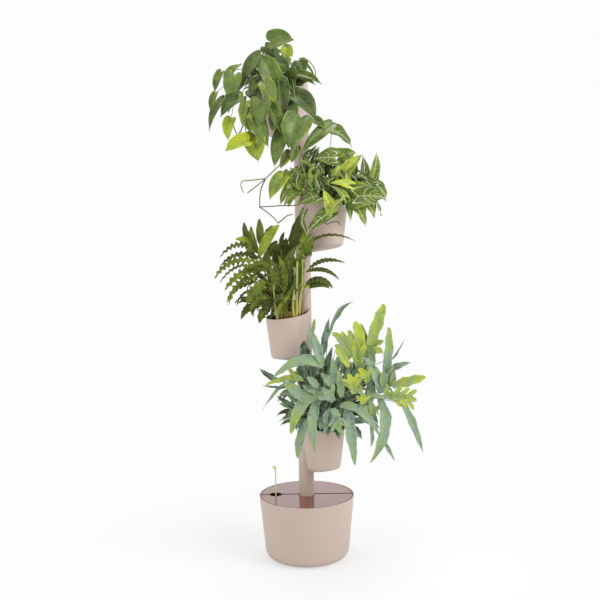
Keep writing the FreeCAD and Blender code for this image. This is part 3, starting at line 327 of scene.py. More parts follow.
# %% Gathering surfaces into one mesh
class Bunch:
    """Points, triangles and marks of many surfaces, in metres, on their way into one mesh."""

    def __init__(self, origin):
        self.origin = origin
        self.spots = []
        self.triangles = []
        self.marks = {"along": [], "aside": [], "rib": [], "tone": [], "under": []}
        self.count = 0

    def add(self, spots, triangles, **marks):
        self.spots.append(spots.reshape(-1, 3) + self.origin)
        self.triangles.append(triangles + self.count)
        number = self.spots[-1].shape[0]
        for name, kept in self.marks.items():
            kept.append(np.broadcast_to(marks.get(name, 0.0), number).astype(np.float32))
        self.count += number

    def piece(self, name, body, material, slot, *stands_for):
        """One smooth mesh object that rides on a body and stands for CAD nodes."""
        mesh = bpy.data.meshes.new(name)
        mesh.from_pydata(np.concatenate(self.spots).tolist(), [], np.concatenate(self.triangles).tolist())
        for mark, kept in self.marks.items():
            layer = mesh.attributes.new(mark, "FLOAT", "POINT")
            layer.data.foreach_set("value", np.concatenate(kept))
        mesh.polygons.foreach_set("use_smooth", np.ones(len(mesh.polygons), bool))
        mesh.materials.append(material)
        made = bpy.data.objects.new(name, mesh)
        bpy.context.scene.collection.objects.link(made)
        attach(made, body)
        if stands_for:
            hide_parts(*stands_for)
        print(name, len(mesh.polygons), "triangles")


def unit(vectors):
    """Vectors divided by their own length."""
    return vectors / np.maximum(np.linalg.norm(vectors, axis=-1, keepdims=True), 1e-9)


def strips(rows, columns, closed):
    """Triangles of a grid of points, two to each cell; a closed grid joins its last column to its first."""
    across = columns if closed else columns - 1
    row, column = np.meshgrid(np.arange(rows - 1), np.arange(across), indexing="ij")
    here = (row * columns + column).ravel()
    beside = (row * columns + (column + 1) % columns).ravel()
    ahead = here + columns
    beyond = beside + columns
    return np.concatenate([np.stack([here, beside, beyond], 1), np.stack([here, beyond, ahead], 1)])


def skin(rings):
    """A closed skin over a stack of rings, shaped (rings, points, 3). Each end is a fan to the middle of its
    ring."""
    rows, columns, _ = rings.shape
    first = rows * columns
    column = np.arange(columns)
    following = (column + 1) % columns
    last_row = (rows - 1) * columns
    foot = np.stack([np.full(columns, first), following, column], 1)
    head = np.stack([np.full(columns, first + 1), last_row + column, last_row + following], 1)
    ends = np.stack([rings[0].mean(0), rings[-1].mean(0)])
    spots = np.concatenate([rings.reshape(-1, 3), ends])
    return spots, np.concatenate([strips(rows, columns, True), foot, head])


def tube(path, radius, sides):
    """A closed tube: at each point of the path a ring, radius * (cos a * A + sin a * B), where A and B are
    square to the path. Its marks run along it from 0 to 1."""
    ahead = unit(np.gradient(path, axis=0))
    first = unit(np.cross(ahead, np.array([0.31, -0.95, 0.05])))
    second = np.cross(ahead, first)
    angle = np.linspace(0, 2 * np.pi, sides, endpoint=False)[None, :, None]
    ring = np.cos(angle) * first[:, None] + np.sin(angle) * second[:, None]
    spots, triangles = skin(path[:, None] + ring * np.reshape(radius, (-1, 1, 1)))
    along = np.repeat(np.linspace(0, 1, len(path)), sides)
    return spots, triangles, np.concatenate([along, [0, 1]])


# %% [markdown]
# ## What a leaf is made of
# The midrib is a parabola through three places. Across it the leaf is a sheet whose half width is a formula
# of the place along the rib, and whose sides lift from the rib in a shallow fold. A leaf's upper side looks
# up and away from the pot's middle. At the front of the plant it looks to the window that the plants grew by.


# %% Midribs and the way a leaf faces
def seen(spot):
    """A place (right, front, up) in millimetres from the soil's middle, as seen from the front, in metres."""
    right, front, up = spot
    return np.array([right, -front, up]) * MM


def sighted(spot, level):
    """A place (right, front, up) where right and up are what the camera sees in the upright plane through
    the soil's middle Q. With the camera at C it is Q + (C - Q) * front / distance, on the line of sight."""
    right, front, up = spot
    flat = seen((right, 0, up))
    eye = CAMERA_PLACE - soil_middle(level)
    return flat + (eye - flat) * (front * MM / -eye[1])


def all_sighted(leaves, number, level):
    """Leaves whose first entries, as many as number says, are places that the camera sees."""
    return [[sighted(spot, level) for spot in given[:number]] + list(given[number:]) for given in leaves]


def parabola(start, middle, end, share):
    """Points of (1-u)^2 S + 2u(1-u) C + u^2 E, where C makes the curve pass the middle halfway."""
    control = 2 * middle - (start + end) / 2
    u = share[..., None]
    return (1 - u) ** 2 * start + 2 * u * (1 - u) * control + u**2 * end


def bulge(spot):
    """The way a leaf arches: up, away from the pot's middle, and at the front a little to the front."""
    outward = unit(spot * [1, 1, 0])
    return unit(outward * 0.6 + UP * 0.7 + FRONT * (0.3 if spot[1] <= 0 else 0.0))


def facing(spot):
    """The way a leaf's upper side looks: outward and up, and at the front of the plant to the window."""
    outward = unit(spot * [1, 1, 0])
    to_front = min(max(0.7 - spot[1] / (50 * MM), 0.0), 1.0)
    behind = outward * 0.7 + UP * 0.6
    window = outward * 0.25 + UP * 0.4 + FRONT
    return unit(behind * (1 - to_front) + window * to_front)


# %% Leaves as sheets with two faces
LEAF_THICKNESS = 0.5 * MM
RIB_STEP = 0.01  # share of the rib, to both sides, over which its direction is taken


def sheet(rows, columns):
    """Places along a leaf, t from 0 to 1, and across it, s from -1 to 1. Rows crowd a little towards both
    ends, and columns towards the edges, as the sine of evenly spaced angles."""
    even = np.linspace(0, 1, rows)
    t = (0.5 * even + 0.25 * (1 - np.cos(np.pi * even)))[:, None] * np.ones((1, columns))
    s = np.sin(np.linspace(-np.pi / 2, np.pi / 2, columns))[None, :] * np.ones((rows, 1))
    return t, s


def two_faces(spot, normal):
    """Points and triangles of a sheet's two faces, which part by the leaf's thickness everywhere but on the
    edge. A triangle with no point off the edge would lie in both faces at once, so it is left out."""
    rows, columns, _ = spot.shape
    inner = np.zeros((rows, columns), bool)
    inner[1:-1, 1:-1] = True
    half = normal * (inner * LEAF_THICKNESS / 2)[..., None]
    lower = (spot - half)[1:-1, 1:-1].reshape(-1, 3)
    index = np.arange(rows * columns).reshape(rows, columns)
    index[1:-1, 1:-1] = rows * columns + np.arange(len(lower)).reshape(rows - 2, -1)
    upper_faces = strips(rows, columns, False)
    upper_faces = upper_faces[inner.ravel()[upper_faces].any(1)]
    lower_faces = index.ravel()[upper_faces][:, ::-1]
    spots = np.concatenate([(spot + half).reshape(-1, 3), lower])
    return spots, np.concatenate([upper_faces, lower_faces])


def leaf(places, width, shape, grid, roll, phase):
    """A closed leaf. A point is rib(along) + side * across * width + normal * lift * width. Where along is
    below 0 the rib runs on straight behind its start, which makes room for lobes."""
    start, middle, end = places
    t, s = sheet(*grid)
    along, across, lift = shape(t, s, phase)
    share = np.clip(along, 0, 1)
    length = np.linalg.norm(middle - start) + np.linalg.norm(end - middle)
    rib = parabola(start, middle, end, share)
    beyond = parabola(start, middle, end, share + RIB_STEP)
    before = parabola(start, middle, end, share - RIB_STEP)
    ahead = unit(beyond - before)
    side = unit(np.cross(ahead, facing(middle)))
    normal = np.cross(side, ahead)
    side = side * math.cos(roll) + normal * math.sin(roll)
    normal = np.cross(side, ahead)
    spot = rib + ahead * (np.minimum(along, 0) * length)[..., None]
    spot = spot + side * (across * width)[..., None] + normal * (lift * width)[..., None]
    spots, triangles = two_faces(spot, normal)
    marks = {"along": t, "aside": np.abs(s), "rib": np.abs(across) * width / MM}
    marks = {name: np.concatenate([kept.ravel(), kept[1:-1, 1:-1].ravel()]) for name, kept in marks.items()}
    marks["under"] = np.repeat([0, 1], [t.size, len(spots) - t.size])
    return spots, triangles, marks


def tilt(draw, spread):
    """By a seeded draw, how far a leaf rolls about its rib and where its waves start, in radians."""
    return draw.normal(0, spread), draw.uniform(0, 6)


def add_blade(blades, places, width, shape, grid, tones, roll, phase):
    """A leaf through its three places. Its tone changes from the first to the second of the tones."""
    spots, triangles, marks = leaf(places, width * MM, shape, grid, roll, phase)
    blades.add(spots, triangles, tone=tones[0] + (tones[1] - tones[0]) * marks["along"] ** 2, **marks)


# %% Where stalks come from
ROOT_SHARE = 0.25  # of the way out to the leaf
ROOT_LIMIT = 30 * MM
ROOT_DEPTH = 2 * MM
HANGING = 30 * MM  # a leaf that starts less than this above its root lets the stalk swing wide
STALK_ROWS = 12
VINE_STEPS = 6


def root_of(spot, level):
    """Where a stalk towards this spot leaves the sloped soil: a quarter of the way out, 30 mm at most."""
    flat = spot * [1, 1, 0]
    reach = min(np.linalg.norm(flat) * ROOT_SHARE, ROOT_LIMIT)
    flat = unit(flat) * reach
    fall = flat @ outward_of(level) * math.tan(RIM_SLOPE)
    return flat - UP * (fall + ROOT_DEPTH)


def stalk_path(top, level):
    """A curve that leaves the soil upright and bends to its leaf. It swings wide where it hangs over the
    rim."""
    root = root_of(top, level)
    reach = top - root
    drop = max(0.0, HANGING - reach[2])
    control = root + UP * (np.linalg.norm(reach) * 0.62 + drop * 0.5)
    control = control + reach * [1, 1, 0] * min(0.7, drop / (100 * MM))
    u = np.linspace(0, 1, STALK_ROWS)[:, None]
    return (1 - u) ** 2 * root + 2 * u * (1 - u) * control + u**2 * top


def smooth_path(corners):
    """A curve through all corners: between two of them a cubic whose slopes come from their neighbours."""
    corners = np.array(corners)
    slope = np.gradient(corners, axis=0)
    u = np.linspace(0, 1, VINE_STEPS, endpoint=False)[None, :, None]
    a, b = corners[:-1, None], corners[1:, None]
    da, db = slope[:-1, None], slope[1:, None]
    run = (2 * u**3 - 3 * u**2 + 1) * a + (u**3 - 2 * u**2 + u) * da
    run = run + (3 * u**2 - 2 * u**3) * b + (u**3 - u**2) * db
    return np.concatenate([run.reshape(-1, 3), corners[-1:]])


def add_stalk(stalks, path, ends, tone, sides=6):
    """A stalk along a path. The ends are its radius at the foot and at the leaf, in millimetres."""
    spots, triangles, along = tube(path, np.linspace(*ends, len(path)) * MM, sides)
    stalks.add(spots, triangles, along=along, tone=tone)


# %% Leaves that fill the crown, in millimetres
GOLDEN_ANGLE = 2.39996
HIGHEST = 0.95  # sine of the highest direction
TO_THE_FRONT = 0.62  # reach of the crown to the front and to the back, for 1 to a side
TO_THE_BACK = 0.9
DROOP = (-26, 10)
RIM_HEIGHT = 20
RIM_RADIUS = 80
COLUMN_ROOM = 28  # between the column's axis and a leaf's side
LEAF_LENGTH = 1.3  # of a broad leaf, for 1 of its width


def crown(level, number, near, far, low, width, tones, seed, bare=(200, 0)):
    """Where leaves fill the crown: directions turn by the golden angle and climb evenly from the sine low,
    and reach, width and tone vary by a seeded draw. The crown is flatter in front. What would meet the
    column is left out, and so is what lies further right than bare[0] and lower than bare[1]. Low inside
    the rim a leaf doesn't droop, which keeps it out of the pot's wall."""
    draw = np.random.default_rng(seed)
    axis = -soil_middle(level)[:2] / MM * [1, -1]
    for k in range(number):
        turn = GOLDEN_ANGLE * k
        rise = math.asin(low + (HIGHEST - low) * (k + 0.5) / number)
        away = np.array([math.cos(turn) * math.cos(rise), math.sin(turn) * math.cos(rise), math.sin(rise)])
        away[1] *= TO_THE_FRONT if away[1] > 0 else TO_THE_BACK
        reach, size, tone = draw.uniform(near, far), draw.uniform(*width), draw.uniform(*tones)
        droop = draw.uniform(*DROOP)
        if away[2] * reach < RIM_HEIGHT and np.linalg.norm(away[:2]) * reach < RIM_RADIUS:
            droop = abs(droop)
        ray = np.linspace(reach * 0.5, reach + size * LEAF_LENGTH, 6)[:, None] * away[:2]
        clear = np.linalg.norm(ray - axis, axis=1).min()
        over_the_side = away[0] * reach > bare[0] and away[2] * reach < bare[1]
        if clear > COLUMN_ROOM + size / 2 and not over_the_side:
            yield away, reach, size, tone, droop


def crown_leaves(level, **given):
    """Fill for a plant with broad leaves: base and tip in metres, width and tone."""
    found = []
    for away, reach, size, tone, droop in crown(level, **given):
        base = away * reach + [0, 0, 12]
        tip = base + away * [1, 1, 0.1] * size * LEAF_LENGTH + [0, 0, droop]
        found.append([seen(base), seen(tip), size, tone])
    return found


def crown_straps(level, **given):
    """Fill for a plant with long leaves: base, bend and tip in metres, width and tone."""
    found = []
    for away, reach, size, tone, droop in crown(level, **given):
        base = away * reach * 0.45 + [0, 0, 6]
        bend = away * reach * 0.85 + [0, 0, 14]
        tip = away * [1, 1, 0.8] * reach + away * [1, 1, 0] * size + [0, 0, droop]
        found.append([seen(base), seen(bend), seen(tip), size, tone])
    return found


# %% [markdown]
# ## How leaves are coloured
# A tone from 0 to 1 runs from old, deep green to the yellow green of new leaves. It is a mark on the mesh,
# so each leaf has its own. Soft clouds shift it within a leaf, and margins are a little lighter. Veins are
# drawn from two more marks, the place along the leaf and the place across it, so they follow the leaf
# however it bends.


# %% A leaf's finish
TONE_PLACES = (0.0, 0.35, 0.7, 1.0)


def leaf_finish(
    name, stops, vein_tint, veins, slant, vein_width, rib_width, shown, gloss, quilt, **sockets
):
    """stops are the colours at the four tones; veins counts the side veins, slant is how far they lean to
    the tip, vein_width half their width as a share of the way between two, rib_width half the midrib's in
    millimetres, shown how strongly they differ in colour, gloss the lowest roughness, and quilt how far the
    blade swells between them, in metres."""
    paint = Paint(name, Specular_IOR_Level=0.28, **sockets)
    along, aside, rib = paint.mark("along"), paint.mark("aside"), paint.mark("rib")
    cloud = paint.noise(38, 3)
    mottle = paint.noise(150, 2)
    speckle = paint.noise(420, 2)
    margin = paint.smooth(0.86, 0.99, aside)
    tone_shift = 1.1 * (cloud - 0.5) + 0.3 * (mottle - 0.5)
    tone_shift = tone_shift + 0.28 * margin + 0.12 * (1.0 - paint.smooth(0.0, 0.5, aside))
    tone = paint.mark("tone") + tone_shift
    body = paint.ramp(tone, *zip(TONE_PLACES, stops))
    body = paint.mix(0.18 * speckle, body, stops[2])
    from_foot = paint.smooth(0.0, 0.35, along)
    beat = ((along - slant * aside * from_foot) * veins).fraction() - 0.5
    side_vein = 1.0 - paint.smooth(vein_width * 0.35, vein_width, beat.size())
    side_vein = side_vein * (1.0 - paint.smooth(0.72, 0.97, aside + 0.3 * (1.0 - from_foot)))
    midrib = 1.0 - paint.smooth(rib_width * 0.4, rib_width, rib)
    vein = side_vein.larger(midrib)
    upper = paint.mix(vein * shown, body, vein_tint)
    lower = paint.mix(0.45, body, vein_tint)
    under = paint.mark("under")
    paint.set(
        Base_Color=paint.mix(under, upper, lower),
        Roughness=gloss + 0.14 * cloud + 0.18 * under,
    )
    paint.bump(0.7 * vein + 0.25 * speckle, -quilt)
    return paint.material


def stalk_finish(name, foot, top):
    """A stalk's colour runs from its foot to its top, the more so the higher its tone."""
    paint = Paint(name, Roughness=0.45)
    fleck = paint.noise(160, 3)
    green = (paint.mark("along") + 0.5) * paint.mark("tone") * 1.5 + 0.4 * (fleck - 0.5)
    paint.set(Base_Color=paint.ramp(green, (0.15, foot), (0.8, top)))
    paint.bump(paint.noise(500, 2, stretch=(1.0, 1.0, 0.15)), 0.3 * MM)
    return paint.material


# %% [markdown]
# ## Soil
# The pots hold dark peat with a few white specks of perlite. The bed is a skin of rings whose outline is
# worked out from the pot: a round front, two straight flanks that run in to the column, and a hollow where
# the column stands.


# %% Peat
def peat():
    paint = Paint("peat_with_perlite", Roughness=0.95)
    grain = paint.noise(420, 6)
    dark = paint.ramp(grain, (0.3, tint(30, 21, 14)), (0.55, tint(58, 43, 31)), (0.75, tint(84, 64, 46)))
    white = paint.smooth(0.7, 0.9, paint.mark("tone"))
    paint.set(Base_Color=paint.mix(white, dark, tint(226, 221, 208)))
    paint.bump(grain, 2.2 * MM)
    return paint.material


SOIL = peat()

# %% Outline and surface of a bed
BED_RADIUS = 61 * MM
BED_DEPTH = 16 * MM
BED_SIDES = 72
# Ring by ring from below, over the edge and in on top: the share of the outline, and of the depth
BED_REACH = (0.02, 0.5, 0.92, 0.94, 0.985, 0.97, 0.9, 0.78, 0.64, 0.5, 0.36, 0.22, 0.08)
BED_SUNK = (1, 1, 1, 0.9, 0.12, 0.03, 0, 0, 0, 0, 0, 0, 0)
COLUMN_GAP = 1 * MM
FLANK_TURN = math.asin(45 / 84)  # between a flank and the line from the pot to the column
CRUMBS = 170
WHITE_EVERY = 9
CRUMB_RINGS = (-0.8, 0.0, 0.8)  # radians up from a crumb's middle
CRUMB_SIDES = 6


def bed_outline(angle):
    """Distance from the pot's axis to its wall. Ahead it is the circle's radius. Behind the points where
    the flanks start it is radius / cos(angle past that point), and it stops short of the column, which a
    ray at angle b from the column's direction meets at d cos b - sqrt(c^2 - d^2 sin^2 b)."""
    from_back = np.abs((angle + np.pi) % (2 * np.pi) - np.pi)
    tangent = np.pi / 2 - FLANK_TURN
    flank = BED_RADIUS / np.cos(np.clip(tangent - from_back, 0, 1.3))
    reach = np.where(from_back < tangent, flank, BED_RADIUS)
    column = COLUMN_RADIUS + COLUMN_GAP
    inside = column**2 - (POT_OFFSET * np.sin(from_back)) ** 2
    meets = POT_OFFSET * np.cos(from_back) - np.sqrt(np.maximum(inside, 0))
    return np.where((inside > 0) & (from_back < np.pi / 2), np.minimum(reach, meets), reach)


def bed_height(x, y, level):
    """The rim's slope, a little lower, plus soft lumps: a product of two waves and a third one aslant."""
    slope = -(x * outward_of(level)[0] + y * outward_of(level)[1]) * math.tan(RIM_SLOPE)
    lumps = np.sin(x * 310 + level) * np.sin(y * 270 + 2 * level) + 0.6 * np.sin(x * 620 - y * 540)
    return slope + lumps * 1.1 * MM - 1.5 * MM


def add_crumbs(bunch, level, back):
    """Squashed balls, strewn evenly over the bed by a seeded draw. Every ninth is a white one."""
    draw = np.random.default_rng(40 + level)
    around = np.linspace(0, 2 * np.pi, CRUMB_SIDES, endpoint=False)
    rise, turn = np.meshgrid(CRUMB_RINGS, around, indexing="ij")
    ball = np.stack([np.cos(rise) * np.cos(turn), np.cos(rise) * np.sin(turn), np.sin(rise)], -1)
    for crumb in range(CRUMBS):
        turn = draw.uniform(0, 2 * np.pi)
        out = bed_outline(np.array([turn - back]))[0] * 0.93 * math.sqrt(draw.uniform())
        x, y = out * math.cos(turn), out * math.sin(turn)
        white = crumb % WHITE_EVERY == 0
        size = draw.uniform(0.8, 1.8) if white else draw.uniform(0.9, 3.0)
        lump = ball * draw.uniform(0.65, 1.2, (len(CRUMB_RINGS), CRUMB_SIDES, 1)) * size * MM
        middle = np.array([x, y, bed_height(x, y, level) + 0.2 * size * MM])
        spots, triangles = skin(lump + middle)
        bunch.add(spots, triangles, tone=1.0 if white else draw.uniform(0, 0.5))


def make_bed(level):
    bunch = Bunch(soil_middle(level))
    back = math.atan2(-outward_of(level)[1], -outward_of(level)[0])
    angle = np.linspace(0, 2 * np.pi, BED_SIDES, endpoint=False)
    reach = bed_outline(angle - back)[None, :] * np.array(BED_REACH)[:, None]
    sunk = np.array(BED_SUNK)[:, None] * BED_DEPTH
    x, y = reach * np.cos(angle), reach * np.sin(angle)
    spots, triangles = skin(np.stack([x, y, bed_height(x, y, level) - sunk], -1))
    bunch.add(spots, triangles, tone=0.2)
    add_crumbs(bunch, level, back)
    bunch.piece(f"soil_bed_{level}", f"level_{level}", SOIL, "potting_soil", f"soil_{level}")


for level in LEVELS:
    make_bed(level)

# %% [markdown]
# ## Top pot: the trailing heart leaved plant
# Its leaves are hearts with a drip tip. They hang from long stalks, tip down, and cover the pot. The half
# width falls to the tip as a power of the place along the leaf. The two lobes behind the stalk come from
# pulling the first rows of the sheet back by a sine across the leaf. A leaf is listed as the places where
# it starts and ends, its width and its tone, and a vine as its tone and the corners that it passes.


# %% The heart shape
def heart(t, s, phase):
    """Half width 0.52 (1 - (t/0.94)^2.1)^0.95 (0.84 + 0.52 t) and a thin drip tip. Rows near the stalk are
    pulled back by up to 0.12 of the length, most halfway to the edge. The sides fold up a little from the
    rib, turn down again at the edge, and wave about once."""
    side = np.abs(s)
    along = t - 0.12 * np.sin(np.pi * side**0.85) * (1 - t) ** 3
    body = (1 - (t / 0.94).clip(0, 1) ** 2.1) ** 0.95 * (0.84 + 0.52 * t)
    half = 0.52 * body + 0.035 * (1 - t) ** 0.6 + 0.002
    wave = 0.03 * side**2 * np.sin(7 * t + phase + s)
    return along, s * half, 0.3 * side * half * 2 - 0.11 * side**3 + wave


HEART_LEAVES = [
    ((-82, 86, -66), (-42, 96, -150), 42, 0.5),
    ((-114, 84, -28), (-124, 92, -104), 28, 0.75),
    ((-34, 0, 156), (38, 12, 163), 62, 0.42),
    ((-51, -10, 142), (-19, 0, 106), 36, 0.12),
    ((16, 10, 136), (10, 20, 90), 36, 0.9),
    ((26, 20, 95), (-14, 26, 78), 28, 0.38),
    ((-66, 20, 116), (-126, 42, 22), 42, 0.28),
    ((-25, 64, 32), (-66, 76, 124), 64, 0.4),
    ((53, 2, 96), (64, 16, 54), 44, 0.4),
    ((27, 20, 61), (122, 36, 26), 30, 0.45),
    ((30, 15, 54), (104, 28, 22), 26, 0.55),
    ((58, -5, 99), (104, 5, 37), 12, 0.2),
    ((-146, 40, 56), (-155, 60, -30), 54, 0.5),
    ((-167, 12, 48), (-124, 0, 92), 34, 0.6),
    ((-187, 20, 66), (-208, 30, 4), 28, 0.5),
    ((-206, 8, 2), (-219, 16, -66), 24, 0.55),
    ((-182, 50, -16), (-229, 70, -114), 30, 0.35),
    ((-129, 70, -10), (-193, 86, -69), 46, 0.12),
    ((-127, 80, -2), (-118, 88, -52), 15, 0.8),
    ((-66, 98, -22), (-65, 114, -100), 62, 0.35),
    ((-118, 84, -49), (-96, 98, -126), 38, 0.7),
    ((-90, 94, -82), (-43, 104, -168), 44, 0.45),
    ((-85, 82, -128), (-78, 90, -212), 68, 0.8),
    ((-52, 84, 30), (-22, 102, -36), 46, 0.6),
    ((-10, 66, 34), (3, 92, -78), 56, 0.08),
    ((31, 60, -6), (106, 80, -84), 68, 0.12),
    ((54, 97, -78), (13, 123, -174), 86, 0.44),
    ((147, 64, -102), (50, 98, -188), 42, 0.45),
    ((96, 80, -84), (130, 84, -112), 30, 0.4),
    ((-33, 90, -42), (3, 102, -132), 38, 0.52),
    ((-2, 82, -122), (-30, 92, -232), 46, 0.42),
    ((20, 84, -184), (-12, 88, -234), 30, 0.5),
    ((41, 86, -166), (23, 92, -218), 30, 0.4),
    ((-159, 60, -78), (-171, 72, -144), 38, 0.9),
    ((-106, 100, -146), (-180, 108, -174), 52, 1.0),
    ((0, 70, -255), (-47, 80, -328), 46, 0.72),
    ((-100, 22, 62), (-60, 44, 16), 44, 0.2),
    ((-18, 18, 100), (26, 30, 66), 36, 0.3),
    ((-95, 50, 8), (-62, 72, -34), 44, 0.12),
    ((-40, 28, 104), (-68, 40, 52), 44, 0.2),
    ((-120, 30, 30), (-150, 44, -10), 34, 0.2),
    ((10, 40, 52), (36, 60, -6), 40, 0.1),
    ((-66, 60, 40), (-100, 76, 0), 40, 0.15),
    ((-150, 40, 0), (-168, 56, -60), 36, 0.25),
    ((-14, 94, -60), (-34, 100, -120), 40, 0.1),
    ((22, 80, -30), (34, 98, -92), 44, 0.15),
    ((-20, -42, 60), (28, -112, 24), 60, 0.4),
    ((-70, -50, 80), (-112, -118, 40), 60, 0.3),
    ((-112, -28, 34), (-162, -88, -30), 56, 0.45),
    ((-34, -58, 122), (-20, -122, 72), 54, 0.4),
    ((-64, -72, -6), (-78, -132, -98), 58, 0.5),
    ((0, -28, 132), (32, -80, 112), 48, 0.6),
    ((26, -72, 56), (44, -124, -6), 50, 0.4),
    ((34, -112, 52), (52, -162, -38), 54, 0.3),
]
VINES = [
    (0.1, [(-12, 20, 3), (0, 62, 42), (12, 96, -40), (24, 106, -150), (15, 96, -192), (-56, 84, -262),
           (-113, 82, -306)]),
    (0.8, [(6, 20, 3), (30, 62, 40), (40, 96, -60), (42, 100, -160), (68, 84, -260)]),
    (0.1, [(68, 84, -260), (52, 78, -338), (-12, 74, -346), (-76, 74, -349)]),
    (0.2, [(-76, 74, -349), (-58, 76, -362), (-36, 78, -380), (-19, 80, -400)]),
    (0.2, [(-19, 80, -400), (-4, 82, -388), (10, 82, -377), (27, 82, -374)]),
    (0.1, [(-56, 84, -262), (-72, 74, -300), (-76, 74, -349)]),
    (0.4, [(-20, 20, 3), (-70, 62, 45), (-112, 78, -10), (-118, 80, -90), (-106, 100, -146)]),
    (0.3, [(-118, 80, -90), (-140, 70, -125), (-159, 60, -78)]),
    (0.6, [(24, 106, -150), (14, 95, -138), (-2, 82, -122)]),
    (0.6, [(68, 84, -260), (30, 80, -238), (0, 70, -255)]),
    (0.3, [(41, 98, -90), (90, 84, -84), (128, 70, -88), (147, 64, -102)]),
    (0.3, [(27, 12, 82), (51, 14, 97), (79, 15, 99), (101, 15, 70), (103, 15, 39)]),
    (1.0, [(-56, 84, -262), (-92, 84, -266), (-128, 84, -270), (-131, 84, -290), (-124, 84, -304)]),
]


# %% Plants with broad leaves on stalks
BROAD_GRID = (22, 15)
BROAD_FILL_GRID = (16, 11)
BROAD_ARCH = 0.08  # for 1 of the leaf's length
BROAD_STALK = (1.6, 0.9)
VINE_ENDS = (1.9, 1.5)
LOWEST_STALK = -96 * MM  # a leaf that starts lower hangs from a trailing stem


def broad_plant(label, level, leaves, fill, shape, vines, blade_finish, stalk_material, slot, node):
    """Each leaf has its stalk from the soil, unless a trailing stem carries it. Leaves that fill the crown
    are coarser sheets."""
    draw = np.random.default_rng(level)
    blades, stalks = Bunch(soil_middle(level)), Bunch(soil_middle(level))
    for number, (start, end, width, tone) in enumerate(all_sighted(leaves, 2, level) + fill):
        grid = BROAD_GRID if number < len(leaves) else BROAD_FILL_GRID
        middle = (start + end) / 2
        middle = middle + bulge(middle) * np.linalg.norm(end - start) * BROAD_ARCH
        add_blade(blades, (start, middle, end), width, shape, grid, (tone, tone), *tilt(draw, 0.1))
        if start[2] > LOWEST_STALK:
            add_stalk(stalks, stalk_path(start, level), BROAD_STALK, 0.5)
    for tone, corners in vines:
        add_stalk(stalks, smooth_path([sighted(corner, level) for corner in corners]), VINE_ENDS, tone)
    blades.piece(f"{label}_leaves", f"level_{level}", blade_finish, slot, node)
    stalks.piece(f"{label}_stems", f"level_{level}", stalk_material, slot)


HEART_FINISH = leaf_finish(
    "heart_leaf",
    (tint(38, 56, 18), tint(80, 102, 38), tint(118, 139, 56), tint(184, 198, 34)),
    vein_tint=tint(160, 176, 112), veins=7, slant=0.35, vein_width=0.06, rib_width=1.1, shown=0.42,
    gloss=0.34, quilt=1.8 * MM, Coat_Weight=0.2, Coat_Roughness=0.3,
)
HEART_STEMS = stalk_finish("heart_leaf_stem", tint(96, 70, 44), tint(120, 140, 70))
HEART_FILL = crown_leaves(
    4, number=46, near=30, far=92, low=-0.05, width=(28, 44), tones=(0.0, 0.5), seed=11, bare=(36, 40)
)
broad_plant(
    "heart_leaf", 4, HEART_LEAVES, HEART_FILL, heart, VINES,
    HEART_FINISH, HEART_STEMS, "heart_leaf_green", "heart_leaf_plant",
)

# %% [markdown]
# ## Third pot: the arrowhead plant
# Arrow shaped leaves with two back lobes and pale veins. New leaves are small and lime. It is the same kind
# of sheet with longer lobes, and the veins are shown much more strongly.


# %% The arrow shape
def arrow(t, s, phase):
    """Half width 0.5 (1 - (t/0.95)^1.7)^0.95 and a thin tip, with rows near the stalk pulled back by up to
    0.4 of the length at about two thirds of the way out, which makes the two lobes."""
    side = np.abs(s)
    along = t - 0.4 * np.sin(np.pi * side**1.5) * (1 - t) ** 2.5
    half = 0.5 * (1 - (t / 0.95).clip(0, 1) ** 1.7) ** 0.95 + 0.03 * (1 - t) ** 0.6 + 0.002
    wave = 0.05 * side**2 * np.sin(11 * t + phase + 2 * s)
    return along, s * half, 0.2 * side * half * 2 - 0.07 * side**3 + wave


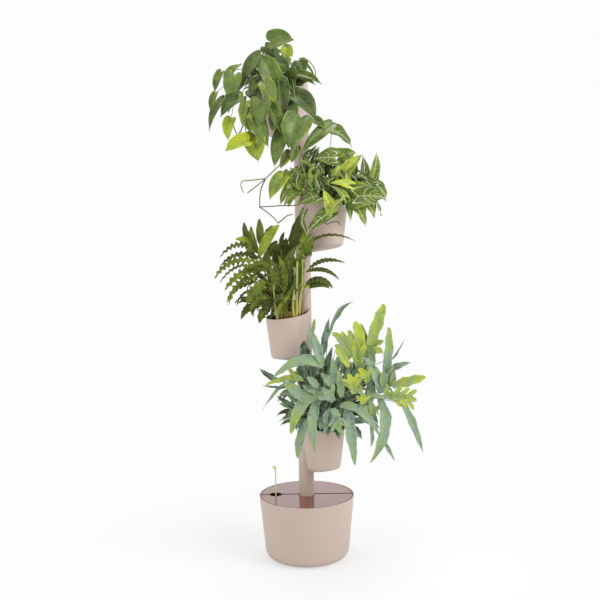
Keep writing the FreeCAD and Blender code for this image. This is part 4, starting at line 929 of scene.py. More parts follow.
ARROW_LEAVES = [
    ((20, 15, 237), (82, 25, 183), 50, 0.35),
    ((26, 30, 148), (-40, 40, 144), 60, 0.45),
    ((40, 20, 150), (96, 25, 164), 50, 0.65),
    ((116, 20, 70), (114, 25, 158), 38, 0.1),
    ((146, 10, 86), (158, 15, 164), 34, 0.62),
    ((92, 75, 26), (180, 78, 20), 84, 0.4),
    ((120, 35, 58), (188, 40, 10), 44, 0.45),
    ((112, 25, 66), (164, 34, 70), 40, 0.3),
    ((66, 72, 6), (74, 78, -54), 24, 0.6),
    ((94, 70, -6), (122, 76, -70), 36, 0.62),
    ((130, 55, 0), (150, 60, -44), 26, 0.5),
    ((28, 60, 96), (40, 66, 126), 22, 0.9),
    ((56, 45, 104), (114, 50, 160), 38, 0.82),
    ((67, 50, 70), (60, 56, 104), 20, 0.98),
    ((70, 84, 64), (10, 90, 70), 28, 0.95),
    ((56, 80, 28), (14, 88, 62), 24, 0.7),
    ((12, 96, -16), (60, 104, 30), 22, 0.8),
    ((12, 90, -10), (-12, 98, 52), 34, 0.85),
    ((-29, 78, 30), (-82, 84, 8), 72, 0.42),
    ((-68, 45, 72), (-30, 54, 98), 46, 0.55),
    ((-70, 45, 68), (-128, 50, 92), 52, 0.65),
    ((-90, 50, 44), (-136, 55, 0), 32, 0.6),
    ((-118, 35, 56), (-146, 40, 2), 30, 0.6),
    ((-88, 25, 70), (-134, 30, 112), 40, 0.5),
    ((-45, 20, 112), (-18, 25, 184), 26, 0.1),
    ((-62, 20, 100), (-74, 28, 144), 30, 0.15),
    ((-30, 24, 96), (-34, 30, 146), 26, 0.05),
    ((0, 92, -28), (-64, 100, -86), 44, 0.32),
    ((-72, 84, -20), (-80, 90, -62), 20, 0.25),
    ((-78, 86, -52), (-62, 94, -96), 18, 0.15),
    ((-10, 20, 110), (8, 30, 160), 34, 0.1),
    ((80, 20, 110), (70, 30, 166), 34, 0.3),
    ((-12, 60, 58), (26, 70, 88), 36, 0.1),
    ((20, 54, 50), (-14, 60, 96), 34, 0.08),
    ((-20, 70, 50), (-36, 76, 92), 32, 0.1),
    ((-125, 30, 104), (-135, 36, 75), 18, 0.4),
    ((-112, 34, 109), (-94, 40, 86), 20, 0.75),
    ((-94, 40, 111), (-117, 46, 75), 20, 0.25),
    ((-125, 44, 75), (-104, 52, 55), 18, 0.6),
    ((-99, 50, 75), (-125, 56, 55), 19, 0.85),
    ((-88, 52, 96), (-94, 60, 60), 22, 0.05),
    ((-57, 20, 155), (-68, 30, 111), 20, 0.1),
    ((-47, 10, 168), (-73, 16, 153), 17, 0.2),
    ((-34, 10, 176), (-52, 20, 145), 17, 0.1),
    ((-68, 30, 142), (-37, 42, 111), 22, 0.55),
    ((-37, 50, 122), (-57, 60, 96), 22, 0.65),
    ((-21, 40, 127), (-5, 50, 96), 24, 0.08),
    ((-42, 62, 96), (-47, 72, 65), 26, 0.7),
    ((-57, 64, 80), (-42, 74, 49), 24, 0.35),
    ((21, 30, 122), (10, 40, 86), 24, 0.05),
    ((39, 30, 135), (59, 40, 111), 24, 0.15),
    ((41, 50, 101), (57, 60, 75), 24, 0.1),
    ((117, 40, 75), (142, 46, 60), 24, 0.2),
    ((104, 40, 96), (129, 48, 75), 26, 0.25),
    ((140, 24, 65), (161, 30, 75), 20, 0.3),
    ((161, 30, 60), (187, 40, 16), 34, 0.4),
    ((148, 50, -2), (145, 54, -41), 12, 0.2),
    ((-21, 60, 106), (-37, 68, 75), 24, 0.35),
    ((-78, 30, 111), (-104, 36, 101), 20, 0.4),
    ((72, 44, 98), (96, 54, 75), 26, 0.12),
    ((-104, 50, 30), (-122, 56, -6), 22, 0.5),
    ((-64, 66, 20), (-96, 72, 4), 26, 0.6),
    ((30, 74, 20), (52, 82, -8), 24, 0.15),
    ((-36, 16, 84), (10, 20, 108), 44, 0.0),
    ((18, 16, 66), (62, 20, 104), 48, 0.0),
    ((60, 16, 66), (100, 20, 100), 40, 0.05),
    ((-50, 16, 118), (-14, 20, 146), 34, 0.05),
    ((20, -45, 110), (0, -100, 96), 52, 0.4),
    ((70, -50, 96), (96, -106, 66), 54, 0.3),
    ((112, -34, 66), (158, -70, 32), 48, 0.45),
    ((40, -66, 42), (36, -122, -8), 54, 0.4),
    ((90, -72, 20), (122, -112, -42), 46, 0.35),
    ((136, -8, 26), (172, -20, -34), 40, 0.5),
    ((50, -20, 140), (46, -66, 158), 44, 0.5),
]
CURLED_TWIG = [
    (0.1, [(-8, 94, -44), (0, 80, -58), (8, 74, -55), (19, 73, -51), (31, 72, -51), (38, 71, -55),
           (40, 70, -63)]),
]
ARROW_FINISH = leaf_finish(
    "arrowhead_leaf",
    (tint(34, 52, 18), tint(76, 98, 36), tint(118, 138, 46), tint(186, 200, 48)),
    vein_tint=tint(204, 213, 158), veins=6, slant=0.32, vein_width=0.085, rib_width=1.6, shown=0.9,
    gloss=0.38, quilt=1.2 * MM,
)
ARROW_STEMS = stalk_finish("arrowhead_stem", tint(92, 84, 50), tint(134, 152, 80))
ARROW_FILL = crown_leaves(
    3, number=120, near=26, far=112, low=0.0, width=(18, 34), tones=(0.05, 0.8), seed=12
)
broad_plant(
    "arrowhead", 3, ARROW_LEAVES, ARROW_FILL, arrow, CURLED_TWIG,
    ARROW_FINISH, ARROW_STEMS, "arrowhead_green", "arrowhead_plant",
)

# %% [markdown]
# ## Second pot: the calathea with wavy leaves
# Long narrow leaves on upright stalks. The old ones have a margin that ripples up to nine times. The ripple
# is a sine along the leaf that grows towards the edge, which gives the outline its teeth from any side. A
# leaf is listed as where it starts, bends and ends, its width, its tone and its waves.


# %% The wavy shape
def lance(t, s, phase, waves):
    """Half width 0.5 sin(pi t^0.8)^0.7. The width swells and narrows by sin(2 pi waves t) times the distance
    from the rib to the power 1.5. Where the right edge swells it lifts, where the left one swells it drops,
    and the left one is a third of a wave ahead."""
    side = np.abs(s)
    half = 0.5 * np.sin(np.pi * np.clip(t, 0, 1) ** 0.8).clip(0, 1) ** 0.7 + 0.006
    ripple = side**1.5 * np.sin(2 * np.pi * waves * t + phase + np.where(s < 0, 2.1, 0.0))
    depth = min(waves / 8, 1)
    lift = 0.14 * side + 0.22 * depth * ripple * np.sign(s)
    return t, s * half * (1 + 0.22 * depth * ripple), lift * half * 2


WAVY_LEAVES = [
    ((-78, 20, 223), (-77, 26, 267), (-80, 30, 305), 25, 0.4, 3),
    ((-104, 20, 217), (-121, 24, 259), (-126, 26, 295), 20, 0.25, 4),
    ((-62, 8, 215), (-54, 12, 254), (-38, 14, 283), 30, 0.1, 4),
    ((-84, 62, 184), (-50, 76, 248), (-18, 80, 284), 30, 0.8, 0),
    ((-14, 20, 206), (-11, 22, 240), (-2, 24, 262), 14, 0.05, 3),
    ((22, 20, 185), (26, 20, 250), (47, 15, 318), 26, 0.05, 4),
    ((46, 12, 212), (44, 14, 262), (49, 16, 306), 28, 0.25, 3),
    ((-4, 14, 160), (-2, 16, 205), (3, 20, 244), 28, 0.05, 4),
    ((-30, 20, 150), (-26, 22, 190), (-20, 24, 228), 28, 0.05, 4),
    ((-52, 50, 146), (-58, 54, 176), (-58, 56, 207), 26, 0.45, 2),
    ((-86, 28, 197), (-100, 32, 241), (-105, 34, 283), 22, 0.35, 4),
    ((50, 36, 212), (63, 40, 236), (85, 44, 259), 14, 0.7, 2),
    ((55, 40, 200), (72, 46, 204), (78, 48, 184), 16, 0.3, 4),
    ((58, 34, 216), (132, 56, 250), (218, 50, 230), 12, 0.1, 9),
    ((70, 24, 146), (120, 20, 173), (184, 12, 164), 13, 0.05, 9),
    ((62, 34, 138), (118, 34, 142), (165, 36, 112), 16, 0.05, 8),
    ((60, 44, 98), (106, 46, 110), (144, 50, 86), 27, 0.15, 7),
    ((68, 50, 88), (104, 54, 98), (134, 56, 86), 18, 0.2, 6),
    ((38, 60, 82), (55, 66, 94), (74, 70, 88), 13, 0.95, 1),
    ((-86, 44, 198), (-146, 50, 224), (-203, 60, 187), 18, 0.2, 9),
    ((-84, 56, 184), (-148, 64, 194), (-202, 74, 160), 15, 0.0, 9),
    ((-86, 66, 170), (-166, 80, 170), (-221, 90, 120), 22, 0.48, 9),
    ((-110, 80, 160), (-160, 92, 152), (-206, 98, 107), 10, 0.25, 8),
    ((-70, 84, 144), (-136, 98, 134), (-190, 104, 85), 26, 0.55, 8),
    ((-84, 82, 122), (-142, 96, 106), (-179, 100, 39), 22, 0.52, 8),
    ((-84, 76, 110), (-150, 88, 92), (-184, 94, 46), 14, 0.4, 8),
    ((-96, 60, 84), (-134, 66, 72), (-154, 70, 33), 8, 0.3, 6),
    ((-64, 94, 112), (-98, 106, 78), (-124, 110, 44), 34, 0.5, 5),
    ((-86, 70, 36), (-120, 78, 28), (-141, 82, -6), 22, 0.2, 6),
    ((-88, 62, 32), (-104, 66, 24), (-102, 68, 2), 14, 0.25, 5),
    ((-48, 80, 30), (-72, 90, 14), (-85, 94, -18), 28, 0.1, 4),
    ((-104, 30, 217), (-128, 34, 238), (-154, 36, 242), 22, 0.8, 2),
    ((-34, 84, 88), (-35, 88, 120), (-31, 90, 150), 14, 0.85, 0),
    ((-48, 88, 134), (-88, 100, 158), (-127, 104, 157), 18, 0.45, 6),
    ((-50, 92, 150), (-80, 102, 168), (-110, 104, 150), 18, 0.5, 6),
    ((-8, 80, 74), (-5, 88, 130), (-22, 92, 190), 22, 0.5, 6),
    ((14, 70, 74), (14, 78, 130), (5, 82, 190), 20, 0.1, 6),
    ((33, 60, 150), (22, 68, 179), (5, 72, 196), 16, 0.6, 4),
    ((-27, 88, 6), (-17, 92, 36), (11, 96, 66), 14, 0.6, 2),
    ((-5, 86, 30), (5, 92, 61), (22, 94, 94), 16, 0.3, 5),
    ((-50, 86, 25), (-66, 92, 52), (-72, 94, 86), 30, 0.0, 4),
    ((-54, 92, 90), (-33, 98, 113), (-49, 100, 157), 24, 0.42, 6),
    ((-20, 90, 100), (-26, 96, 140), (-50, 98, 180), 22, 0.05, 6),
    ((10, 84, 60), (26, 88, 90), (30, 90, 130), 20, 0.15, 5),
    ((-10, 70, 150), (10, 78, 180), (30, 80, 215), 22, 0.3, 4),
    ((38, 68, 148), (42, 76, 180), (50, 80, 210), 18, 0.5, 4),
    ((28, 66, 156), (44, 74, 176), (66, 78, 180), 15, 0.35, 4),
    ((34, 60, 116), (48, 66, 146), (56, 70, 172), 16, 0.3, 4),
    ((48, 50, 190), (62, 56, 214), (70, 58, 240), 15, 0.45, 4),
    ((-60, 40, 180), (-40, 50, 215), (-24, 54, 236), 24, 0.15, 4),
    ((46, 50, 200), (56, 56, 232), (58, 58, 272), 24, 0.5, 4),
    ((60, 48, 186), (74, 54, 212), (90, 56, 252), 20, 0.3, 4),
    ((-90, 50, 180), (-110, 56, 205), (-100, 58, 225), 22, 0.3, 4),
    ((-60, 96, 60), (-90, 106, 56), (-112, 110, 20), 26, 0.3, 5),
    ((0, 90, 40), (-20, 98, 60), (-40, 100, 40), 24, 0.1, 5),
    ((30, 74, 100), (44, 80, 130), (40, 84, 170), 20, 0.2, 5),
    ((-96, 84, 150), (-120, 92, 148), (-150, 96, 120), 16, 0.45, 7),
    ((-100, 66, 110), (-128, 72, 116), (-160, 76, 90), 16, 0.1, 7),
    ((-22, -40, 130), (-40, -60, 200), (-70, -110, 236), 22, 0.3, 5),
    ((-44, -34, 120), (-80, -50, 180), (-140, -100, 170), 22, 0.3, 7),
    ((-60, -24, 80), (-110, -30, 120), (-170, -62, 70), 22, 0.3, 7),
    ((-12, -46, 100), (-20, -74, 150), (-34, -150, 140), 22, 0.4, 7),
    ((-40, -44, 76), (-70, -70, 110), (-108, -132, 60), 22, 0.3, 7),
    ((-54, -18, 40), (-96, -20, 60), (-142, -40, 6), 24, 0.2, 6),
    ((12, -44, 116), (20, -84, 170), (30, -146, 150), 20, 0.3, 7),
    ((4, -50, 140), (6, -84, 210), (16, -136, 250), 20, 0.3, 5),
    ((-40, -16, 160), (-60, -20, 230), (-80, -50, 280), 22, 0.4, 4),
]
WAVY_FINISH = leaf_finish(
    "wavy_leaf",
    (tint(34, 44, 10), tint(76, 92, 20), tint(116, 132, 32), tint(160, 182, 44)),
    vein_tint=tint(146, 154, 72), veins=24, slant=0.08, vein_width=0.16, rib_width=0.8, shown=0.4,
    gloss=0.36, quilt=0.9 * MM,
)
WAVY_STEMS = stalk_finish("wavy_leaf_stem", tint(204, 182, 104), tint(160, 164, 78))
PALE_STALKS = [  # foot, bend and top, and the radius at the foot
    ((30, 42, -2), (33, 82, 76), (36, 94, 168), 4.5),
    ((38, 36, -2), (48, 76, 95), (52, 84, 175), 3.5),
    ((24, 46, -2), (21, 82, 44), (26, 92, 84), 4.0),
    ((34, 30, -2), (44, 78, 70), (60, 66, 104), 3.0),
    ((48, 20, 0), (60, 48, 58), (73, 50, 86), 2.0),
    ((-26, 50, -6), (-32, 90, 40), (-35, 104, 98), 2.6),
]

WAVY_STALK = (1.5, 0.8)


def wavy_plant():
    """The more waves a leaf has, the more rows its sheet gets."""
    draw = np.random.default_rng(2)
    blades, stalks = Bunch(soil_middle(2)), Bunch(soil_middle(2))
    filling = crown_straps(
        2, number=130, near=50, far=185, low=0.25, width=(12, 20), tones=(-0.2, 0.5), seed=13, bare=(26, 200)
    )
    fill = [[*given, 4] for given in filling]
    for *places, width, tone, waves in all_sighted(WAVY_LEAVES, 3, 2) + fill:
        shape = functools.partial(lance, waves=waves)
        grid = (14 + 7 * waves, 7)
        add_blade(blades, places, width, shape, grid, (tone, tone + 0.1), *tilt(draw, 0.2))
        add_stalk(stalks, stalk_path(places[0], 2), WAVY_STALK, tone)
    for foot, bend, top, thick in PALE_STALKS:
        path = parabola(seen(foot), seen(bend), seen(top), np.linspace(0, 1, STALK_ROWS))
        add_stalk(stalks, path, (thick, thick * 0.6), 0.45, sides=9)
    blades.piece("wavy_leaf_leaves", "level_2", WAVY_FINISH, "wavy_leaf_green", "wavy_leaf_plant")
    stalks.piece("wavy_leaf_stems", "level_2", WAVY_STEMS, "wavy_leaf_green")


wavy_plant()

# %% [markdown]
# ## Lowest pot: the blue strap fern
# Broad straps in a powdery blue green, their tips and the young fronds lime. Some carry pairs of side lobes,
# made as short sheets with a blunt end that grow out of the midrib. Bloom on the leaf veils the veins, so
# they show only faintly. A frond is listed as where it starts, bends and ends, its width, the tones of its
# foot and tip, and its pairs of lobes.


# %% The strap and its lobes
def strap(t, s, phase, point):
    """Half width 0.5 sin(pi t^0.8)^(0.42 + point t), so it keeps its width to a blunt tip, or to a sharper
    one with more point. The edge swells three times along the frond, with small bumps between, and waves up
    and down two and a half times."""
    side = np.abs(s)
    half = 0.5 * np.sin(np.pi * np.clip(t, 0, 1) ** 0.8).clip(0, 1) ** (0.42 + point * t) + 0.004
    uneven = phase + np.where(s < 0, 1.5, 0.0)
    swell = 1 + 0.09 * np.sin(19 * t + uneven) + 0.045 * np.sin(53 * t + 2 * uneven)
    wave = 0.06 * side**2 * np.sin(16 * t + phase + np.where(s < 0, 2.0, 0.0))
    return t, s * half * swell, 0.16 * side * half * 2 + wave


def finger(t, s, phase):
    """A blunt lobe: half width 0.5 (1 - t^4)^0.5 (0.7 + 0.35 t)."""
    half = 0.5 * (1 - np.clip(t, 0, 1) ** 4) ** 0.5 * (0.7 + 0.35 * t) + 0.01
    return t, s * half, 0.12 * np.abs(s) * half * 2


LOBE_GRID = (14, 7)
LOBE_WIDTH = 0.6  # for 1 of the frond's width
LOBE_LENGTH = 1.5


def add_lobes(blades, places, width, number, tones):
    """As many pairs of lobes as number says. They leave a frond's rib at 0.25 of its length, at 0.45 and so
    on, and point ahead."""
    look = facing(places[1])
    for share in 0.25 + 0.2 * np.arange(number):
        foot, further = parabola(*places, np.array([share, share + 0.05]))
        ahead = unit(further - foot)
        aside = unit(np.cross(ahead, look))
        for sign in (1, -1):
            reach = (aside * sign * 0.8 + ahead * 0.75) * width * LOBE_LENGTH * MM
            half_way = foot + reach / 2 + look * width * 0.12 * MM
            along_it = (foot, half_way, foot + reach)
            add_blade(blades, along_it, width * LOBE_WIDTH, finger, LOBE_GRID, tones, 0.0, 0.0)


FERN_FRONDS = [
    ((11, 90, 99), (-58, 112, 84), (-104, 128, -19), 38, 0.35, 0.78, 0),
    ((-14, 96, 92), (-36, 120, 24), (-31, 122, -82), 30, 0.3, 0.55, 0),
    ((-54, 64, 20), (-76, 70, -36), (-84, 72, -97), 26, 0.35, 0.6, 0),
    ((70, 92, 64), (82, 112, -14), (94, 118, -122), 34, 0.3, 0.55, 0),
    ((170, 66, 88), (188, 82, -6), (142, 90, -115), 35, 0.35, 0.5, 0),
    ((48, 92, 64), (114, 112, 48), (174, 122, -34), 26, 0.35, 0.45, 0),
    ((246, 36, 68), (276, 44, 4), (307, 50, -86), 24, 0.4, 0.35, 0),
    ((174, 48, -26), (197, 56, -70), (219, 60, -110), 13, 0.35, 0.3, 0),
    ((144, 80, 4), (149, 88, -34), (144, 92, -64), 12, 0.3, 0.3, 0),
    ((88, 82, 0), (103, 88, -18), (117, 92, -40), 22, 0.0, 0.1, 0),
    ((0, 96, 186), (-68, 116, 208), (-158, 126, 156), 32, 0.35, 0.5, 0),
    ((-138, 86, 146), (-170, 94, 164), (-201, 100, 187), 17, 0.1, 0.15, 0),
    ((-62, 96, 146), (-108, 110, 152), (-178, 118, 134), 24, 0.6, 0.95, 1),
    ((-34, 104, 82), (-80, 116, 108), (-128, 120, 147), 36, 0.35, 0.4, 0),
    ((-115, 80, 125), (-152, 86, 127), (-192, 90, 133), 8, 0.25, 0.3, 0),
    ((-48, 98, 66), (-85, 106, 88), (-124, 110, 112), 24, 0.35, 0.4, 0),
    ((-78, 80, 51), (-115, 88, 77), (-149, 92, 100), 16, 0.1, 0.15, 0),
    ((-71, 76, 44), (-104, 82, 66), (-139, 86, 75), 18, 0.25, 0.6, 0),
    ((-78, 70, 40), (-111, 76, 31), (-144, 80, 20), 5, 0.4, 0.4, 0),
    ((-4, 98, 200), (-22, 104, 250), (-42, 100, 312), 32, 0.3, 0.4, 0),
    ((-44, 70, 206), (-57, 76, 240), (-58, 78, 274), 30, 0.05, 0.1, 0),
    ((-30, 60, 295), (-28, 64, 317), (-24, 66, 338), 11, 0.5, 0.7, 0),
    ((-2, 40, 221), (7, 36, 280), (21, 30, 341), 22, 0.2, 0.3, 0),
    ((14, -20, 268), (42, -16, 346), (97, -10, 388), 20, 0.35, 0.35, 0),
    ((142, 16, 250), (168, 20, 320), (190, 24, 380), 37, 0.7, 0.85, 0),
    ((80, 10, 120), (100, 14, 170), (96, 18, 224), 26, 0.1, 0.25, 0),
    ((110, 0, 110), (130, 4, 165), (150, 8, 215), 28, 0.15, 0.35, 0),
    ((60, 30, 110), (76, 36, 160), (84, 40, 206), 26, 0.1, 0.3, 0),
    ((30, 40, 140), (40, 46, 190), (60, 50, 240), 22, 0.15, 0.4, 0),
    ((134, 30, 90), (150, 34, 140), (160, 38, 190), 28, 0.1, 0.3, 0),
    ((10, 20, 150), (14, 24, 200), (30, 28, 250), 20, 0.2, 0.4, 0),
    ((190, 0, 168), (202, 2, 236), (203, 0, 308), 31, 0.35, 0.85, 0),
    ((214, -18, 208), (232, -22, 234), (255, -26, 272), 10, 0.2, 0.25, 0),
    ((190, 8, 164), (230, 10, 186), (272, 12, 197), 20, 0.15, 0.35, 0),
    ((212, 38, 124), (266, 42, 138), (318, 46, 151), 31, 0.6, 1.0, 0),
    ((184, 66, 92), (238, 78, 90), (289, 84, 78), 26, 0.7, 1.0, 3),
    ((106, 84, 86), (160, 90, 94), (216, 92, 80), 13, 0.4, 0.4, 0),
    ((184, 60, 120), (186, 66, 149), (188, 70, 176), 24, 0.45, 0.55, 0),
    ((212, 28, 126), (216, 30, 150), (219, 30, 171), 19, 0.45, 0.55, 0),
    ((188, 72, 84), (194, 78, 107), (198, 82, 131), 18, 0.6, 0.8, 0),
    ((108, 22, 206), (112, 28, 266), (99, 30, 328), 40, 0.75, 0.95, 0),
    ((130, 10, 206), (128, 16, 262), (117, 18, 320), 26, 0.65, 0.8, 0),
    ((80, 44, 210), (70, 50, 254), (59, 54, 297), 26, 0.8, 1.0, 1),
    ((86, 58, 222), (58, 70, 268), (29, 78, 293), 24, 0.55, 0.75, 1),
    ((42, 86, 246), (60, 94, 219), (79, 100, 184), 26, 0.75, 0.85, 0),
    ((142, 6, 242), (167, 8, 257), (189, 10, 265), 20, 0.7, 0.75, 0),
    ((142, 16, 226), (166, 20, 236), (186, 24, 226), 24, 0.65, 0.7, 0),
    ((176, 56, 102), (164, 66, 156), (126, 74, 212), 34, 0.3, 0.4, 0),
    ((155, 60, 180), (137, 66, 199), (112, 70, 214), 26, 0.3, 0.35, 0),
    ((94, 112, 102), (88, 120, 136), (75, 124, 166), 22, 0.85, 0.95, 2),
    ((118, 106, 66), (121, 112, 86), (118, 114, 106), 18, 0.95, 1.0, 1),
    ((136, 84, 136), (128, 92, 162), (106, 98, 180), 22, 0.8, 0.95, 1),
    ((30, 116, 128), (12, 124, 148), (-8, 130, 169), 24, 0.3, 0.35, 0),
    ((54, 108, 92), (52, 118, 132), (47, 124, 175), 22, 0.4, 0.6, 0),
    ((32, 92, 134), (30, 98, 173), (29, 102, 216), 26, 0.35, 0.4, 0),
    ((-16, 116, 124), (-34, 124, 142), (-52, 128, 158), 22, 0.4, 0.5, 0),
    ((-24, 112, 110), (-45, 118, 121), (-68, 122, 130), 20, 0.35, 0.45, 0),
    ((30, 118, 80), (15, 126, 100), (-4, 132, 125), 26, 0.35, 0.45, 1),
    ((24, 120, 56), (38, 128, 44), (53, 132, 34), 20, 0.4, 0.5, 0),
    ((12, 90, 28), (11, 96, -2), (11, 98, -30), 22, 0.0, 0.05, 0),
    ((34, 90, 18), (40, 95, -8), (45, 97, -40), 22, 0.0, 0.1, 0),
    ((-4, 100, 44), (-8, 106, 18), (-13, 108, -12), 22, 0.25, 0.4, 0),
    ((11, 104, 51), (3, 110, 25), (14, 112, 3), 16, 0.4, 0.5, 0),
    ((30, 104, 52), (40, 112, 14), (58, 114, -28), 22, 0.3, 0.6, 2),
    ((20, 96, 60), (10, 106, 20), (-2, 108, -24), 20, 0.3, 0.55, 1),
    ((60, 96, 44), (72, 102, 8), (74, 104, -30), 20, 0.1, 0.3, 0),
    ((-58, 84, 153), (-61, 88, 173), (-60, 90, 194), 19, 0.2, 0.3, 0),
    ((-37, 84, 155), (-39, 88, 177), (-36, 90, 197), 19, 0.1, 0.2, 0),
    ((-19, 84, 162), (-21, 88, 182), (-18, 90, 201), 17, 0.1, 0.2, 0),
    ((-84, 80, 145), (-85, 84, 162), (-81, 86, 179), 20, 0.5, 0.6, 0),
    ((-30, 60, 132), (-30, 64, 172), (-32, 66, 214), 42, 0.0, 0.1, 0),
    ((-62, 60, 140), (-64, 64, 174), (-66, 66, 206), 40, 0.0, 0.15, 0),
    ((-2, 50, 130), (2, 54, 176), (4, 56, 220), 40, 0.0, 0.1, 0),
    ((148, 70, 30), (150, 78, 54), (140, 82, 84), 24, 0.55, 0.65, 1),
    ((106, 76, 28), (130, 84, 20), (150, 88, 8), 22, 0.1, 0.2, 0),
    ((80, 100, 110), (100, 108, 120), (124, 112, 116), 22, 0.5, 0.7, 2),
    ((107, 34, 186), (98, 40, 240), (80, 44, 300), 32, 0.7, 0.85, 1),
    ((132, 10, 148), (146, 14, 192), (158, 18, 238), 28, 0.35, 0.5, 0),
    ((84, 20, 130), (72, 24, 186), (58, 28, 240), 28, 0.3, 0.45, 0),
    ((187, 20, 105), (206, 24, 150), (220, 26, 192), 25, 0.4, 0.6, 0),
    ((112, 60, 66), (142, 66, 46), (168, 70, 6), 24, 0.2, 0.3, 0),
    ((158, 50, 122), (142, 60, 90), (134, 64, 46), 26, 0.4, 0.5, 0),
    ((10, -50, 100), (20, -84, 150), (2, -164, 62), 26, 0.35, 0.5, 1),
    ((44, -50, 90), (90, -92, 132), (140, -186, 30), 26, 0.35, 0.5, 1),
    ((-84, -4, 100), (-118, -14, 132), (-190, -40, 60), 24, 0.35, 0.5, 1),
    ((84, -40, 96), (160, -76, 146), (232, -140, 70), 26, 0.5, 0.8, 2),
    ((32, -56, 126), (62, -104, 196), (84, -192, 206), 24, 0.4, 0.7, 2),
    ((2, -60, 66), (4, -112, 96), (-14, -190, -6), 22, 0.35, 0.5, 0),
    ((64, -20, 110), (120, -30, 180), (160, -90, 240), 26, 0.6, 0.8, 1),
    ((110, -24, 60), (206, -40, 90), (262, -90, 20), 22, 0.4, 0.5, 0),
]
FERN_FINISH = leaf_finish(
    "blue_fern_frond",
    (tint(34, 54, 34), tint(142, 166, 148), tint(150, 172, 96), tint(188, 200, 56)),
    vein_tint=tint(172, 190, 160), veins=9, slant=0.4, vein_width=0.06, rib_width=0.9, shown=0.32,
    gloss=0.5, quilt=0.9 * MM,
)
FERN_STEMS = stalk_finish("fern_stem", tint(96, 88, 52), tint(140, 158, 120))
FROND_GRID = (34, 9)
FROND_FILL_GRID = (24, 7)
FROND_STALK = (1.6, 1.0)


def fern_plant():
    """Named fronds first, some with lobes, then the coarser ones that fill the crown, darker low down as
    painted shade.
    """
    draw = np.random.default_rng(1)
    blades, stalks = Bunch(soil_middle(1)), Bunch(soil_middle(1))
    # The low fill sits deep in the crown; its dark tones are painted shade for the inside of the crown
    low = crown_straps(1, number=90, near=40, far=165, low=0.0, width=(13, 20), tones=(-0.25, 0.2), seed=14)
    high = crown_straps(1, number=60, near=90, far=200, low=0.42, width=(16, 24), tones=(-0.1, 0.4), seed=15)
    fill = [[*given, given[-1] + 0.1, 0] for given in low + high]
    for number, (*places, width, tone, tip_tone, lobes) in enumerate(all_sighted(FERN_FRONDS, 3, 1) + fill):
        grid = FROND_GRID if number < len(FERN_FRONDS) else FROND_FILL_GRID
        shape = functools.partial(strap, point=1.1 * max(0.0, 0.8 - tip_tone))
        add_blade(blades, places, width, shape, grid, (tone, tip_tone), *tilt(draw, 0.2))
        add_lobes(blades, places, width, lobes, (tone, tip_tone))
        add_stalk(stalks, stalk_path(places[0], 1), FROND_STALK, tone)
    blades.piece("blue_fern_leaves", "level_1", FERN_FINISH, "fern_blue_green", "strap_fern")
    stalks.piece("blue_fern_stems", "level_1", FERN_STEMS, "fern_blue_green")


fern_plant()

# %% [markdown]
# ## Studio
# The tower stands on a white floor in front of white. The lamps light it at a plain level, and the white
# comes from what camera and mirror rays see of the world. Near the tower the floor still takes its shadow.


# %% World and floor
WORLD_LIGHT = 0.46
SEEN_WHITE = 0.98
WHITE = (1.0, 1.0, 1.0, 1.0)
FLOOR_HALF = 6.0
FLOOR_DROP = 0.5 * MM
FLOOR_GREY = (0.88, 0.88, 0.88, 1.0)
SHADE_FADES = (0.3, 0.9)  # metres from the middle


def make_world():
    """Camera, mirror and glass rays see white; the rest of the light is plain and weaker."""
    world = bpy.data.worlds.new("studio")
    bpy.context.scene.world = world
    sky = Nodes(world, "ShaderNodeOutputWorld")
    seen_rays = sky.ray("Camera").larger(sky.ray("Glossy")).larger(sky.ray("Transmission"))
    soft = sky.node("ShaderNodeBackground", links={"Color": WHITE, "Strength": WORLD_LIGHT})
    white = sky.node("ShaderNodeBackground", links={"Color": WHITE, "Strength": SEEN_WHITE})
    sky.show(sky.blend(seen_rays, soft, white))


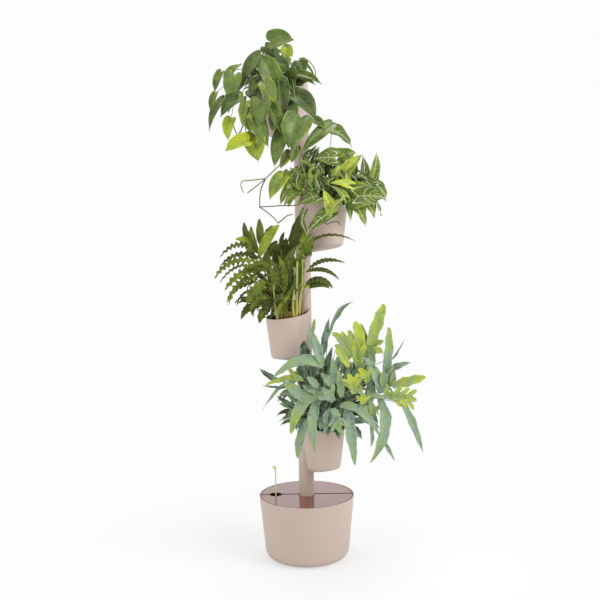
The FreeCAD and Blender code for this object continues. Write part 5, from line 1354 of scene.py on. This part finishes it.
def make_floor():
    """A wide square. Camera rays see plain white on it, less the shade that falls near the tower."""
    mesh = bpy.data.meshes.new("floor")
    corners = [(-1, -1), (1, -1), (1, 1), (-1, 1)]
    spots = [(x * FLOOR_HALF, y * FLOOR_HALF, -FLOOR_DROP) for x, y in corners]
    mesh.from_pydata(spots, [], [(0, 1, 2, 3)])
    floor = bpy.data.objects.new("floor", mesh)
    bpy.context.scene.collection.objects.link(floor)
    paint = Paint("white_floor", Roughness=0.9, Base_Color=FLOOR_GREY)
    glow = paint.node("ShaderNodeEmission", links={"Strength": SEEN_WHITE})
    far = paint.node("ShaderNodeVectorMath", {"operation": "LENGTH"}, {0: paint.place()}, output="Value")
    edge = paint.smooth(*SHADE_FADES, far) * 0.41 + 0.59
    paint.show(paint.blend(edge * paint.ray("Camera"), paint.shader, glow))
    mesh.materials.append(paint.material)


make_world()
make_floor()

# %% Lamps and camera
LAMPS = [  # name, place and aim in metres, width in metres, and power in watts
    ("right_softbox", (2.2, -1.4, 2.0), (0.0, 0.0, 0.8), 2.2, 61),
    ("left_softbox", (-2.3, -1.2, 1.4), (0.0, 0.0, 0.6), 2.4, 31),
    ("top_softbox", (0.0, 0.4, 3.4), (0.0, 0.0, 0.6), 1.8, 38),
]
for name, place, aim, size, power in LAMPS:
    lamp = bpy.data.lights.new(name, "AREA")
    lamp.shape = "DISK"
    lamp.size = size
    lamp.energy = power
    made = bpy.data.objects.new(name, lamp)
    made.location = place
    made.rotation_euler = (Vector(aim) - Vector(place)).to_track_quat("-Z", "Y").to_euler()
    bpy.context.scene.collection.objects.link(made)

CAMERA_VIEW = math.radians(46.4)
CAMERA_DOWN = math.radians(1.23)
CAMERA_ROLL = math.radians(0.9)

lens = bpy.data.cameras.new("camera")
lens.sensor_fit = "HORIZONTAL"
lens.angle = CAMERA_VIEW
camera = bpy.data.objects.new("camera", lens)
camera.location = CAMERA_PLACE
camera.rotation_mode = "XYZ"
camera.rotation_euler = (math.pi / 2 - CAMERA_DOWN, CAMERA_ROLL, 0.0)
bpy.context.scene.collection.objects.link(camera)
bpy.context.scene.camera = camera
bpy.context.scene.view_settings.view_transform = "Standard"
